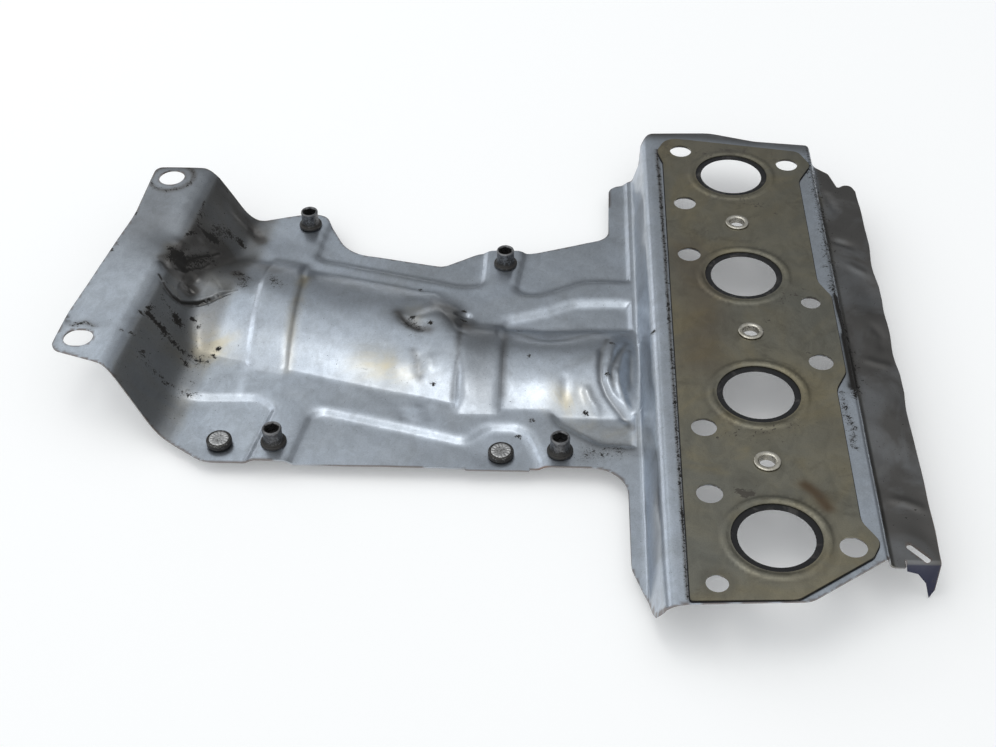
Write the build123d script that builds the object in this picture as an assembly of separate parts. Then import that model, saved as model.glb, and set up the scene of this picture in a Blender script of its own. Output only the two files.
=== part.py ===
from build123d import *
import os
from math import cos, radians, sin, sqrt, tan

# Exhaust heat shield with its manifold gasket, in millimetres.
# X runs across the part, from the mounting strip at -X to the port plateau. Y runs along the row
# of ports. Z is up. The origin is on the gasket's top face, midway along the row of ports.

os.makedirs("parts", exist_ok=True)

# Sheet metal and the gasket layers
sheet_thickness = 0.8
top_plate_thickness = 0.6
coated_layer_thickness = 0.4
coated_layer_overhang = 0.4

# Heights of the formed sheet's upper face
plateau_z = -(top_plate_thickness + coated_layer_thickness)
right_flange_z = -8.0
floor_z = -19.5
edge_strip_drop = 2.0
strip_slope = 45.0
mounting_strip_z = 8.0
strip_z = floor_z - edge_strip_drop

# Plateau under the gasket: bend lines as sharp corners, with their bend radii
plateau_left_x = -44.5
plateau_foot_x = -50.0
plateau_right_x = 43.0
right_flange_foot_x = 45.0
plateau_top_bend = 6.0
plateau_foot_bend = 3.0
right_bend = 2.5
foot_land_width = 2.8

# Sloping wall up to the mounting strip, turned about Z
wall_turn = 7.7
wall_foot_x = -255.0
wall_reference_y = 40.0
wall_run = 22.0
wall_top_bend = 8.0
wall_foot_bend = 12.0
raised_floor_reach = 45.0

# Crowned cover over the pipe and the narrower neck beside the plateau
cover_reference_x = -190.0
cover_centre_y = 22.0
cover_turn = 15.0
cover_width = 73.0
cover_rise = 9.0
neck_centre_y = -6.0
neck_width = 55.0
neck_rise = 8.0
cover_corner_x = -141.5
cover_corner_y = 41.5
cover_corner_slope = 30.0

# Cross ribs, from left edge to right edge, raised above the cover
rib_raise = 2.2
rib_shoulder = 1.8
cover_rib_x = (-234.0, -213.0)
neck_rib_x = (-134.0, -113.0)

# Row of ports and the holes round it
port_pitch = 84.0
port_count = 4
port_row_y = [(index - (port_count - 1) / 2) * port_pitch for index in range(port_count)]
port_diameter = 36.5
coated_port_diameter = 31.0
sheet_port_diameter = 34.0
bead_diameter = 41.5
bead_width = 4.0
bead_crest_width = 1.4
bead_height = 0.35
stud_hole_diameter = 11.0
locating_diameter = 9.0
left_hole_x = -25.0
right_hole_x = 29.5
coated_hole_extra = 0.6
sheet_hole_extra = 1.2

# Stud and locating holes: the port beside each one, and how far past its centre it lies along Y
left_stud_holes = ((3, 22.0), (3, -25.3), (2, 16.0), (1, -21.7), (0, 23.3))
right_stud_holes = ((3, 10.0), (1, 21.7), (0, -4.5))
near_locating_hole = (0, -24.5)
far_locating_hole = (2, -20.2)

# Rolled eyelets between the ports
eyelet_bore = 7.0
eyelet_wall = 0.7
eyelet_rim_diameter = 11.6
eyelet_rim_height = 0.9
eyelet_rim_edge = 0.4
eyelet_clearance = 0.1
eyelet_seat_depth = 0.1

# Bolt holes of the mounting strip
far_bracket_hole = (wall_foot_x - 32.3, 107.3)
near_bracket_slot = (wall_foot_x - 49.4, -19.8)
bracket_hole_diameter = 13.0
bracket_slot_length = 13.4
bracket_slot_width = 11.4

# Collar screws and round-head studs
screw_points = ((-217.8, 104.5), (-115.0, 73.3), (-212.7, -57.7), (-86.1, -60.3))
stud_points = ((-237.4, -56.4), (-112.0, -60.8))
collar_diameter = 11.6
collar_thickness = 1.6
collar_edge = 0.5
screw_head_base_diameter = 9.2
screw_head_top_diameter = 8.3
screw_head_height = 9.0
screw_head_edge = 0.4
socket_diameter = 6.0
socket_depth = 5.0
shank_diameter = 6.0
shank_reach = 3.6
shank_clearance = 0.15
shank_tip_chamfer = 0.7
stud_head_diameter = 11.4
stud_head_height = 2.8
stud_head_edge_height = 0.9
stud_head_edge_width = 1.3

# Torn ear, bent down from the near end of the right flange
ear_fold_y = port_row_y[0] - 5.0
ear_left_x = 50.8
ear_right_x = 65.8
ear_tip_x = 64.0
ear_depth = 21.0
ear_right_depth = 16.0
ear_torn_steps = ((1.5, 5.2), (6.0, 6.7), (10.0, 12.2))
ear_bend = 1.6
tear_slot_centre = (56.7, ear_fold_y + 5.2)
tear_slot_length = 11.5
tear_slot_width = 3.2
tear_slot_turn = -48.0

# Room for the blocks that are cut against each other
block_base_z = -60.0
strip_room = 80.0
floor_room = 60.0
foot_overlap = 20.0
block_half_length = port_row_y[-1] + strip_room
through_all = -2 * block_base_z
spare = 1.0


def inset_corners(corners, inset):
    """Corners (x, z, bend) of a folded line, moved down by a distance measured square to each leg."""
    legs = []
    for (x0, z0, _), (x1, z1, _) in zip(corners, corners[1:]):
        leg = Vector(x1 - x0, z1 - z0).normalized()
        legs.append((Vector(x0, z0) + Vector(leg.Y, -leg.X) * inset, leg))
    moved = []
    for index, (x, z, bend) in enumerate(corners):
        base, leg = legs[min(index, len(legs) - 1)]
        if index in (0, len(corners) - 1):
            down = Vector(leg.Y, -leg.X) * inset
            moved.append((x + down.X, z + down.Y, bend))
            continue
        base0, leg0 = legs[index - 1]
        turn = leg0.X * leg.Y - leg0.Y * leg.X
        gap = base - base0
        reach = (gap.X * leg.Y - gap.Y * leg.X) / turn
        point = base0 + leg0 * reach
        # A crest turns right on the way to +X, so its inner bend is tighter. A valley's is wider.
        moved.append((point.X, point.Y, bend + inset if turn > 0 else bend - inset))
    return moved


def folded_block(corners, inset):
    """Solid that fills the space under a folded line, extruded along Y."""
    line = inset_corners(corners, inset)
    base = block_base_z - inset
    first, last = line[0], line[-1]
    crest = FilletPolyline(
        *[(x, z) for x, z, _ in line], radius=[bend for _, _, bend in line[1:-1]]
    )
    skirt = Polyline((last[0], last[1]), (last[0], base), (first[0], base), (first[0], first[1]))
    face = make_face(Plane.XZ * (crest + skirt))
    return extrude(face, block_half_length + inset, both=True)


def plateau_block(inset):
    """Floor, left wall, plateau, right step and right flange as one folded strip."""
    land_x = plateau_foot_x - foot_land_width
    corners = [
        (wall_foot_x + foot_overlap, strip_z, 0),
        (land_x - edge_strip_drop, strip_z, spare),
        (land_x, floor_z, spare),
        (plateau_foot_x, floor_z, plateau_foot_bend),
        (plateau_left_x, plateau_z, plateau_top_bend),
        (plateau_right_x, plateau_z, right_bend),
        (right_flange_foot_x, right_flange_z, right_bend),
        (ear_right_x + spare + inset, right_flange_z, 0),
    ]
    return folded_block(corners, inset)


def wall_block(inset):
    """Sloping wall and mounting strip, turned to follow the strip's edge."""
    foot_shift = edge_strip_drop * wall_run / (mounting_strip_z - floor_z)
    corners = [
        (-wall_run - strip_room, mounting_strip_z, 0),
        (-wall_run, mounting_strip_z, wall_top_bend),
        (foot_shift, strip_z, wall_foot_bend),
        (floor_room, strip_z, 0),
    ]
    block = folded_block(corners, inset)
    return Pos(wall_foot_x, wall_reference_y, 0) * Rot(0, 0, -wall_turn) * block


def raised_outline():
    """Plan of the floor that stands above the lowered edge strips."""
    corners = [
        (wall_foot_x - raised_floor_reach, -28, 0),
        (-225, -29, 5),
        (-217.5, -35, 4),
        (-224, -68, 6),
        (-224, -85, 0),
        (-204, -85, 0),
        (-203, -66, 6),
        (-198, -39, 4),
        (-193, -37.5, 4),
        (-128, -55.5, 6),
        (-118, -46, 7),
        (-103, -46, 9),
        (-95.5, -66, 6),
        (-95, -85, 0),
        (-75, -85, 0),
        (-75, -185, 0),
        (-40, -185, 0),
        (-40, 63, 0),
        (-76, 62.5, 20),
        (-97, 51.5, 4),
        (-108.5, 51.5, 5),
        (-105, 80, 6),
        (-105, 100, 0),
        (-126, 100, 0),
        (-127, 57.5, 4),
        (-138, 57.5, 6),
        (-210, 77.5, 5),
        (-208, 98, 8),
        (-203, 130, 0),
        (wall_foot_x - raised_floor_reach, 130, 0),
    ]
    return make_face(
        FilletPolyline(*[(x, y) for x, y, _ in corners], radius=[r for _, _, r in corners], close=True)
    )


def wedge_outlines():
    """Plans of the two hollows that lead into the neck, one on each side of it."""
    far = [(-116, 21, 1), (-112, 29, 2), (-94, 35, 8), (-80, 42, 12), (-44, 43, 0), (-44, 12, 0)]
    near = [(-92, -28, 2), (-86, -41, 4), (-68, -54, 10), (-44, -55.5, 0), (-44, -24, 0)]
    return [
        make_face(
            FilletPolyline(*[(x, y) for x, y, _ in plan], radius=[r for _, _, r in plan], close=True)
        )
        for plan in (far, near)
    ]


def raised_block(inset):
    """Raised floor: its sides slope down to the edge strips."""
    slope_shift = inset * tan(radians(strip_slope / 2))
    plan = offset(raised_outline(), amount=-slope_shift, kind=Kind.INTERSECTION)
    lean = 90 - strip_slope
    block = extrude(Pos(0, 0, strip_z - inset) * plan, edge_strip_drop, taper=lean)
    for plan in wedge_outlines():
        hollow = offset(plan, amount=slope_shift, kind=Kind.INTERSECTION)
        block -= extrude(Pos(0, 0, strip_z - inset) * hollow, edge_strip_drop + spare, taper=-lean)
    return block


def crowned_pipe(width, rise, raise_by, length, inset):
    """Round-topped block along X, whose crown stands above the floor."""
    radius = (width**2 / 4 + rise**2) / (2 * rise)
    centre_z = floor_z + rise - radius
    disc = Pos(0, centre_z) * Circle(radius + raise_by - inset)
    ground = Rectangle(4 * radius, 4 * radius, align=(Align.CENTER, Align.MAX))
    crown = disc - Pos(0, block_base_z - inset) * ground
    return extrude(Plane.YZ * crown, length / 2, both=True)


def placed_cover(raise_by, inset):
    """Pipe cover, turned about Z and run on into the sloping wall."""
    length = 2 * (cover_reference_x - wall_foot_x + wall_run)
    pipe = crowned_pipe(cover_width, cover_rise, raise_by, length, inset)
    return Pos(cover_reference_x, cover_centre_y, 0) * Rot(0, 0, -cover_turn) * pipe


def placed_neck(raise_by, inset):
    """Neck over the narrower pipe beside the plateau."""
    middle_x = (neck_rib_x[0] + plateau_left_x) / 2
    pipe = crowned_pipe(neck_width, neck_rise, raise_by, plateau_left_x - neck_rib_x[0], inset)
    return Pos(middle_x, neck_centre_y, 0) * pipe


def slab_between(x_range, inset):
    """Tall slab between two X planes, pulled in by the inset."""
    left, right = x_range[0] + inset, x_range[1] - inset
    middle = (left + right) / 2
    return Pos(middle, 0, 0) * Box(right - left, 2 * block_half_length, 2 * block_half_length)


def rib(pipe, x_range, inset):
    """Cross rib: the raised pipe between two planes, with sloped shoulders."""
    block = pipe & slab_between(x_range, inset)
    rims = block.edges().filter_by(lambda edge: edge.geom_type != GeomType.LINE)
    # A 45 degree shoulder shrinks by 2 - sqrt(2) of the inset when it moves inward.
    return chamfer(rims, rib_shoulder - inset * (2 - sqrt(2)))


def cover_block(inset):
    """Cover up to the neck rib, with the sloping far corner where it narrows to the neck."""
    ends = (wall_foot_x - strip_room, (neck_rib_x[0] + neck_rib_x[1]) / 2 + inset)
    block = placed_cover(0, inset) & slab_between(ends, inset)
    lean = radians(cover_corner_slope)
    normal = Vector(sin(lean) * sqrt(0.5), sin(lean) * sqrt(0.5), cos(lean))
    point = Vector(cover_corner_x, cover_corner_y, floor_z) - normal * inset
    return split(block, bisect_by=Plane(origin=point, z_dir=normal), keep=Keep.BOTTOM)


def formed_block(inset):
    """Everything under the formed sheet's face, moved inward by the inset."""
    block = plateau_block(inset) + wall_block(inset) + raised_block(inset)
    block += cover_block(inset)
    block += placed_neck(0, inset)
    block += rib(placed_cover(rib_raise, inset), cover_rib_x, inset)
    block += rib(placed_neck(rib_raise, inset), neck_rib_x, inset)
    return block


def sheet_outline():
    """Trimmed edge of the sheet in plan. The corners round the mounting strip go with the wall's foot."""
    near_y, far_y = port_row_y[0], port_row_y[-1]
    corners = [
        (wall_foot_x - 60.6, -27.5, 6),
        (wall_foot_x - 35.5, -36.3, 8),
        (wall_foot_x - 7.0, -55.0, 40),
        (-243.0, -68.2, 14),
        (-127.5, -69.6, 0),
        (-127.0, -70.5, 0),
        (-99.5, -70.5, 0),
        (-99.0, -69.3, 0),
        (-56.9, -69.3, 16),
        (-56.5, near_y - 1.0, 14),
        (-50.2, near_y - 18.5, 8),
        (-47.8, near_y - 30.0, 4),
        (-44.5, near_y - 35.5, 3),
        (-36.0, near_y - 34.0, 10),
        (10.5, near_y - 31.6, 10),
        (41.5, ear_fold_y - 4.8, 2),
        (43.5, ear_fold_y - 2.5, 1),
        (ear_left_x, ear_fold_y - 2.5, 1),
        (ear_left_x + 0.2, ear_fold_y, 0),
        (ear_right_x, ear_fold_y, 0),
        (65.5, far_y - 2.5, 5),
        (62.0, far_y + 5.5, 4),
        (55.6, far_y + 0.2, 1),
        (52.4, far_y + 13.5, 4),
        (44.8, far_y + 20.8, 1.5),
        (43.6, far_y + 29.6, 3),
        (14.5, far_y + 33.2, 20),
        (-9.0, far_y + 40.8, 20),
        (-41.5, far_y + 40.0, 6),
        (-45.6, far_y + 33.5, 3),
        (-47.2, far_y + 22.0, 1),
        (-50.5, far_y + 21.2, 1),
        (-62.3, far_y + 19.0, 7),
        (-63.0, 98.5, 9),
        (-101.0, 84.6, 25),
        (-128.5, 84.4, 10),
        (-146.5, 72.8, 8),
        (-196.0, 83.5, 22),
        (-211.0, 114.0, 8),
        (-223.5, 113.6, 10),
        (-242.0, 107.8, 12),
        (wall_foot_x + 4.0, 106.3, 8),
        (wall_foot_x - 9.0, 112.8, 8),
        (wall_foot_x - 17.0, 116.7, 5),
        (wall_foot_x - 42.3, 116.7, 4),
        (wall_foot_x - 44.4, 76.0, 80),
        (wall_foot_x - 58.2, -2.0, 60),
    ]
    return make_face(
        FilletPolyline(*[(x, y) for x, y, _ in corners], radius=[r for _, _, r in corners], close=True)
    )


def port_points():
    """Centres of the ports along Y."""
    return [(0, y) for y in port_row_y]


def eyelet_points():
    """Centres of the eyelets, midway between neighbouring ports."""
    return [(0, (near_y + far_y) / 2) for near_y, far_y in zip(port_row_y, port_row_y[1:])]


def beside_ports(x, places):
    """Points at one X, each placed along Y from the port beside it."""
    return [(x, port_row_y[index] + along) for index, along in places]


def round_holes(points, diameter):
    """Upright cutters through every layer at the given points."""
    return [Pos(x, y, 0) * Cylinder(diameter / 2, through_all) for x, y in points]


def gasket_holes(port_size, extra):
    """Cutters for the ports, the stud holes, the locating holes and the eyelets."""
    stud_holes = beside_ports(left_hole_x, left_stud_holes)
    stud_holes += beside_ports(right_hole_x, right_stud_holes)
    locating_holes = beside_ports(left_hole_x, [near_locating_hole])
    locating_holes += beside_ports(right_hole_x, [far_locating_hole])
    eyelet_hole = eyelet_bore + 2 * (eyelet_wall + eyelet_clearance)
    return (
        round_holes(port_points(), port_size)
        + round_holes(stud_holes, stud_hole_diameter + extra)
        + round_holes(locating_holes, locating_diameter + extra)
        + round_holes(eyelet_points(), eyelet_hole)
    )


def bracket_holes():
    """Cutters for the round hole and the slot of the mounting strip."""
    slot = SlotOverall(bracket_slot_length, bracket_slot_width)
    near = extrude(Pos(near_bracket_slot[0], near_bracket_slot[1], 0) * slot, through_all)
    return round_holes([far_bracket_hole], bracket_hole_diameter) + [near]


def ear_angle(inset):
    """Block behind the folded ear, rounded along its fold."""
    side = Pos(ear_fold_y + inset, right_flange_z - inset) * Rectangle(
        ear_depth, 2 * ear_depth, align=(Align.MIN, Align.MAX)
    )
    fold = side.vertices().group_by(Axis.Y)[-1].sort_by(Axis.X)[0]
    return extrude(Plane.YZ * fillet(fold, ear_bend - inset), ear_right_x + spare)


def torn_ear():
    """Ear folded down at the near end of the right flange, tapered to its torn tip."""
    front = [
        (ear_left_x, right_flange_z + spare),
        *[(ear_left_x + along, right_flange_z - down) for along, down in ear_torn_steps],
        (ear_tip_x, right_flange_z - ear_depth),
        (ear_right_x, right_flange_z - ear_right_depth),
        (ear_right_x, right_flange_z + spare),
    ]
    window = extrude(make_face(Plane.XZ * Polyline(*front, close=True)), block_half_length, both=True)
    bent = ear_angle(0) - ear_angle(sheet_thickness)
    fold_zone = Pos(0, ear_fold_y, 0) * Box(
        2 * block_half_length, 2 * ear_bend, 2 * block_half_length
    )
    return bent & window & fold_zone


def shield_sheet():
    """Formed and trimmed sheet with its holes and the torn ear."""
    skin = formed_block(0) - formed_block(sheet_thickness)
    trim = extrude(sheet_outline(), through_all, both=True)
    sheet = skin & trim
    ear = torn_ear()
    corner = Pos(ear_left_x, ear_fold_y, right_flange_z) * Box(
        block_half_length, 2 * ear_bend, 4 * ear_bend, align=(Align.MIN, Align.CENTER, Align.CENTER)
    )
    sheet = sheet - corner + ear
    shank_hole = shank_diameter + 2 * shank_clearance
    cutters = gasket_holes(sheet_port_diameter, sheet_hole_extra)
    cutters += bracket_holes() + round_holes(screw_points + stud_points, shank_hole)
    slot = Rot(0, 0, tear_slot_turn) * SlotOverall(tear_slot_length, tear_slot_width)
    above_flange = Pos(tear_slot_centre[0], tear_slot_centre[1], right_flange_z + spare)
    cutters.append(extrude(above_flange * slot, -(sheet_thickness + 2 * spare)))
    return sheet - cutters


def gasket_outline():
    """Plan of the gasket: straight sides with lobes round the outer stud holes."""
    near_y, second_y, third_y, far_y = port_row_y
    corners = [
        (-35.8, near_y - 33.3, 1),
        (5.5, near_y - 31.6, 8),
        (36.6, near_y - 9.6, 4),
        (40.6, near_y - 1.5, 6),
        (34.1, near_y + 9.5, 10),
        (34.1, second_y + 4.0, 12),
        (39.6, second_y + 15.0, 8),
        (39.6, third_y - 15.0, 8),
        (34.3, third_y - 4.0, 12),
        (34.3, far_y - 4.5, 10),
        (41.8, far_y + 10.0, 6),
        (36.5, far_y + 22.3, 5),
        (-20.0, far_y + 32.6, 8),
        (-32.0, far_y + 34.5, 8),
        (-37.5, far_y + 22.0, 8),
        (-34.6, far_y + 11.0, 3),
    ]
    return make_face(
        FilletPolyline(*[(x, y) for x, y, _ in corners], radius=[r for _, _, r in corners], close=True)
    )


def bead_ring(centre, lift):
    """Solid ring with sloped sides round one port, standing above a face at the given height."""
    radius = bead_diameter / 2
    section = Polyline(
        (radius - bead_width / 2, lift),
        (radius - bead_crest_width / 2, lift + bead_height),
        (radius + bead_crest_width / 2, lift + bead_height),
        (radius + bead_width / 2, lift),
        close=True,
    )
    return Pos(centre[0], centre[1], 0) * revolve(Plane.XZ * make_face(section), Axis.Z)


def gasket_top_plate():
    """Upper steel layer: a bead round each port, hollow beneath, and coined seats for the eyelets."""
    plate = extrude(gasket_outline(), -top_plate_thickness)
    for centre in port_points():
        plate += bead_ring(centre, 0)
        plate -= bead_ring(centre, -top_plate_thickness)
    seat = Cylinder(
        eyelet_rim_diameter / 2 + eyelet_clearance,
        2 * eyelet_seat_depth,
    )
    plate -= [Pos(x, y, 0) * seat for x, y in eyelet_points()]
    return plate - gasket_holes(port_diameter, 0)


def gasket_coated_layer():
    """Black-coated layer between the top plate and the sheet, with narrower ports."""
    plan = offset(gasket_outline(), amount=coated_layer_overhang)
    layer = Pos(0, 0, -top_plate_thickness) * extrude(plan, -coated_layer_thickness)
    return layer - gasket_holes(coated_port_diameter, coated_hole_extra)


def rivet_eyelet():
    """Hollow rivet: a rim in its coined seat, a barrel, and a flare under the sheet."""
    bore = eyelet_bore / 2
    barrel = bore + eyelet_wall
    rim = eyelet_rim_diameter / 2
    seat = -eyelet_seat_depth
    under = plateau_z - sheet_thickness
    flare = under - eyelet_wall
    section = Polyline(
        (bore, flare),
        (rim, flare),
        (rim, under),
        (barrel, under),
        (barrel, seat),
        (rim, seat),
        (rim, eyelet_rim_height - eyelet_rim_edge),
        (rim - eyelet_rim_edge, eyelet_rim_height),
        (bore + eyelet_rim_edge, eyelet_rim_height),
        (bore, eyelet_rim_height - eyelet_rim_edge),
        close=True,
    )
    return revolve(make_face(Plane.XZ * section), Axis.Z)


def shank():
    """Short round shank under a head, down to a chamfered tip that the sheet's edge hides."""
    body = Cylinder(shank_diameter / 2, shank_reach, align=(Align.CENTER, Align.CENTER, Align.MAX))
    tip = body.faces().sort_by(Axis.Z)[0].edges()
    return chamfer(tip, shank_tip_chamfer)


def collar_screw():
    """Tall tapered head with a blind hexagon socket, on a round collar and a shank."""
    collar = Cylinder(
        collar_diameter / 2, collar_thickness, align=(Align.CENTER, Align.CENTER, Align.MIN)
    )
    collar = chamfer(collar.faces().sort_by(Axis.Z)[-1].edges(), collar_edge)
    head = Cone(
        screw_head_base_diameter / 2,
        screw_head_top_diameter / 2,
        screw_head_height,
        align=(Align.CENTER, Align.CENTER, Align.MIN),
    )
    head = chamfer(head.faces().sort_by(Axis.Z)[-1].edges(), screw_head_edge)
    socket = RegularPolygon(socket_diameter / 2, 6, major_radius=False)
    well = Pos(0, 0, screw_head_height) * extrude(socket, -socket_depth)
    return collar + head - well + shank()


def round_head_stud():
    """Low round head with a sloped edge, on a shank."""
    head = Cylinder(
        stud_head_diameter / 2, stud_head_height, align=(Align.CENTER, Align.CENTER, Align.MIN)
    )
    rim = head.faces().sort_by(Axis.Z)[-1].edges()
    top = head.faces().sort_by(Axis.Z)[-1]
    return chamfer(rim, stud_head_edge_height, stud_head_edge_width, reference=top) + shank()


def placed(piece, points, seat_z):
    """Copies of one piece as separate solids, seated at the given height."""
    return Compound(children=[Pos(x, y, seat_z) * piece for x, y in points])


nodes = {
    "shield_sheet": shield_sheet(),
    "gasket_top_plate": gasket_top_plate(),
    "gasket_coated_layer": gasket_coated_layer(),
    "rivet_eyelets": placed(rivet_eyelet(), eyelet_points(), 0),
    "collar_screws": placed(collar_screw(), screw_points, floor_z),
    "round_head_studs": placed(round_head_stud(), stud_points, strip_z),
}
for node_name, node in nodes.items():
    export_step(node, f"parts/{node_name}.step")
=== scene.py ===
"""Looks of an exhaust heat shield with its manifold gasket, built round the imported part."""

from __future__ import annotations

import logging
import math
import random
from dataclasses import dataclass
from enum import Enum
from functools import partial
from typing import Sequence

import bmesh
import bpy
import numpy as np
from mathutils import Matrix, Vector
from mathutils.bvhtree import BVHTree

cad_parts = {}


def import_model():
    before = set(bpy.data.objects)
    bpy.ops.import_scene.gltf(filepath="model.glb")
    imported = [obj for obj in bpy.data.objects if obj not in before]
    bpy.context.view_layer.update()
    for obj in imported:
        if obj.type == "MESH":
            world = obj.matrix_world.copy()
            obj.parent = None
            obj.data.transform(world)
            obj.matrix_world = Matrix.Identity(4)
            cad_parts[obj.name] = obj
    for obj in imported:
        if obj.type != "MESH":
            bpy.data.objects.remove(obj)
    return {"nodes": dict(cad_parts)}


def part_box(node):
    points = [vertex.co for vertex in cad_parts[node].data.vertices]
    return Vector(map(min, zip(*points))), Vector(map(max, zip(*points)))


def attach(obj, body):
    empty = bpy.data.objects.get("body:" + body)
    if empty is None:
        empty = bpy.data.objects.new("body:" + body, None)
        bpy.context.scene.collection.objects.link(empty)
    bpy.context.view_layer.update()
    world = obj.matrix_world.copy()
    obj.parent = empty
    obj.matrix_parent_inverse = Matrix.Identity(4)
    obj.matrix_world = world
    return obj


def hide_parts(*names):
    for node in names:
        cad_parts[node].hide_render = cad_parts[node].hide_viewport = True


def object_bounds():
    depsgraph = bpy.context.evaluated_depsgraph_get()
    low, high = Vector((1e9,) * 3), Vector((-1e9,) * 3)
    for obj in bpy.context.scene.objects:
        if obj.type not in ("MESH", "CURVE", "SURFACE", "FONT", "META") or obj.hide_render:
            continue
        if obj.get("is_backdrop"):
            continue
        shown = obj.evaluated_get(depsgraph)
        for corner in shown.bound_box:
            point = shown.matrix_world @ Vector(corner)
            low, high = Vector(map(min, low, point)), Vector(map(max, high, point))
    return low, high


LOG = logging.getLogger("heat_shield")
MM = 0.001
JOIN_GAP = 2e-6  # metres within which the CAD's doubled vertices are joined
FLAT_ANGLE = 0.05  # degrees below which two facets count as one flat face
BODY = "root"

Point2 = tuple[float, float]
Point3 = tuple[float, float, float]
Line = tuple[Point2, ...]


class Axis(Enum):
    """World axis that a family of cutting planes stands square to."""

    X = 0
    Y = 1
    Z = 2


# --------------------------------------------------------------------------- node helpers


class Shade:
    """Short way to add and join nodes in one node tree."""

    def __init__(self, tree: bpy.types.NodeTree) -> None:
        """Keep the tree that the nodes go into.

        Args:
            tree: Node tree of a material or a group.
        """
        self.tree = tree

    def node(self, kind: str, **settings: object) -> bpy.types.Node:
        """Add one node.

        Args:
            kind: Node type name.
            settings: Attributes set on the node.

        Returns:
            The new node.
        """
        made = self.tree.nodes.new(kind)
        for name, value in settings.items():
            setattr(made, name, value)
        return made

    def join(self, source: bpy.types.NodeSocket, target: bpy.types.NodeSocket) -> None:
        """Link two sockets."""
        self.tree.links.new(source, target)

    def feed(self, target: bpy.types.NodeSocket, value: object) -> None:
        """Link a socket, or set a plain value, on a target socket.

        Args:
            target: Input socket.
            value: Output socket, number, colour or vector.
        """
        if isinstance(value, bpy.types.NodeSocket):
            self.join(value, target)
            return
        target.default_value = value

    def fill(self, node: bpy.types.Node, **values: object) -> bpy.types.Node:
        """Feed several inputs of a node.

        Args:
            node: The node.
            values: Sockets or plain values by input name, with underscores for spaces.

        Returns:
            The same node.
        """
        for name, value in values.items():
            self.feed(node.inputs[name.replace("_", " ")], value)
        return node

    def math(self, operation: str, first: object, second: object = 0.0, clamp: bool = False) -> bpy.types.NodeSocket:
        """Add a Math node.

        Args:
            operation: Blender's name of the operation.
            first: First operand.
            second: Second operand.
            clamp: Whether the result is held between 0 and 1.

        Returns:
            The result socket.
        """
        made = self.node("ShaderNodeMath", operation=operation, use_clamp=clamp)
        self.feed(made.inputs[0], first)
        self.feed(made.inputs[1], second)
        return made.outputs[0]

    def times(self, first: object, second: object, clamp: bool = False) -> bpy.types.NodeSocket:
        """Product of two values."""
        return self.math("MULTIPLY", first, second, clamp)

    def weighted(self, base: float, *terms: tuple[object, float], clamp: bool = False) -> bpy.types.NodeSocket:
        """Add several values, each by its weight, to a base.

        Args:
            base: Number to start from.
            terms: Values and their weights.
            clamp: Whether the sum is held between 0 and 1.

        Returns:
            The sum.
        """
        total = base
        for index, (value, weight) in enumerate(terms, 1):
            total = self.math("ADD", total, self.times(value, weight), clamp and index == len(terms))
        return total

    def ramp(self, value: object, low: float, high: float, start: float = 0.0,
             end: float = 1.0) -> bpy.types.NodeSocket:
        """Map a value smoothly from one range to another, clamped.

        Args:
            value: Number or socket.
            low: Value that gives start.
            high: Value that gives end.
            start: Result at low.
            end: Result at high.

        Returns:
            The mapped socket.
        """
        made = self.node("ShaderNodeMapRange", interpolation_type="SMOOTHSTEP")
        self.fill(made, Value=value, From_Min=low, From_Max=high, To_Min=start, To_Max=end)
        return made.outputs["Result"]

    def mix(self, share: object, first: object, second: object, blend: str = "MIX") -> bpy.types.NodeSocket:
        """Mix two colours.

        Args:
            share: Share of the second colour.
            first: First colour.
            second: Second colour.
            blend: Blend mode.

        Returns:
            The mixed colour socket.
        """
        made = self.node("ShaderNodeMix", data_type="RGBA", blend_type=blend)
        for index, value in ((0, share), (6, first), (7, second)):
            self.feed(made.inputs[index], value)
        return made.outputs[2]

    def over(self, colour: object, *coats: tuple[object, Colour]) -> bpy.types.NodeSocket:
        """Lay coats over a colour, each by its share.

        Args:
            colour: Colour underneath.
            coats: Share and colour of each coat, from the lowest up.

        Returns:
            The colour seen.
        """
        for share, coat in coats:
            colour = self.mix(share, colour, coat)
        return colour

    def shaded(self, colour: object, *factors: object) -> bpy.types.NodeSocket:
        """Multiply a colour by each factor in turn.

        Args:
            colour: The colour.
            factors: Sockets or numbers near 1.

        Returns:
            The darkened or lightened colour.
        """
        for factor in factors:
            colour = self.mix(1.0, colour, factor, "MULTIPLY")
        return colour

    def noise(self, vector: object, scale: object, detail: float = 3.0, roughness: float = 0.55,
              distortion: float = 0.0) -> bpy.types.NodeSocket:
        """Add a noise texture.

        Args:
            vector: Coordinates in metres.
            scale: Waves per metre.
            detail: Octaves.
            roughness: Share of the finer octaves.
            distortion: Warp of the pattern.

        Returns:
            The noise value, about 0.5 on average.
        """
        made = self.node("ShaderNodeTexNoise")
        self.fill(made, Vector=vector, Scale=scale, Detail=detail, Roughness=roughness, Distortion=distortion)
        return made.outputs["Fac"]

    def place(self) -> bpy.types.NodeSocket:
        """Coordinates of the point in the part's frame, in metres."""
        return self.node("ShaderNodeTexCoord").outputs["Object"]

    def moved(self, vector: object, shift: Point3 = (0, 0, 0), scale: Point3 = (1, 1, 1)) -> bpy.types.NodeSocket:
        """Coordinates shifted, and stretched on each axis."""
        made = self.fill(self.node("ShaderNodeMapping"), Vector=vector, Location=shift, Scale=scale)
        return made.outputs["Vector"]

    def attribute(self, name: str) -> bpy.types.NodeSocket:
        """Value of a named attribute of the mesh."""
        return self.node("ShaderNodeAttribute", attribute_name=name).outputs["Fac"]

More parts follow.
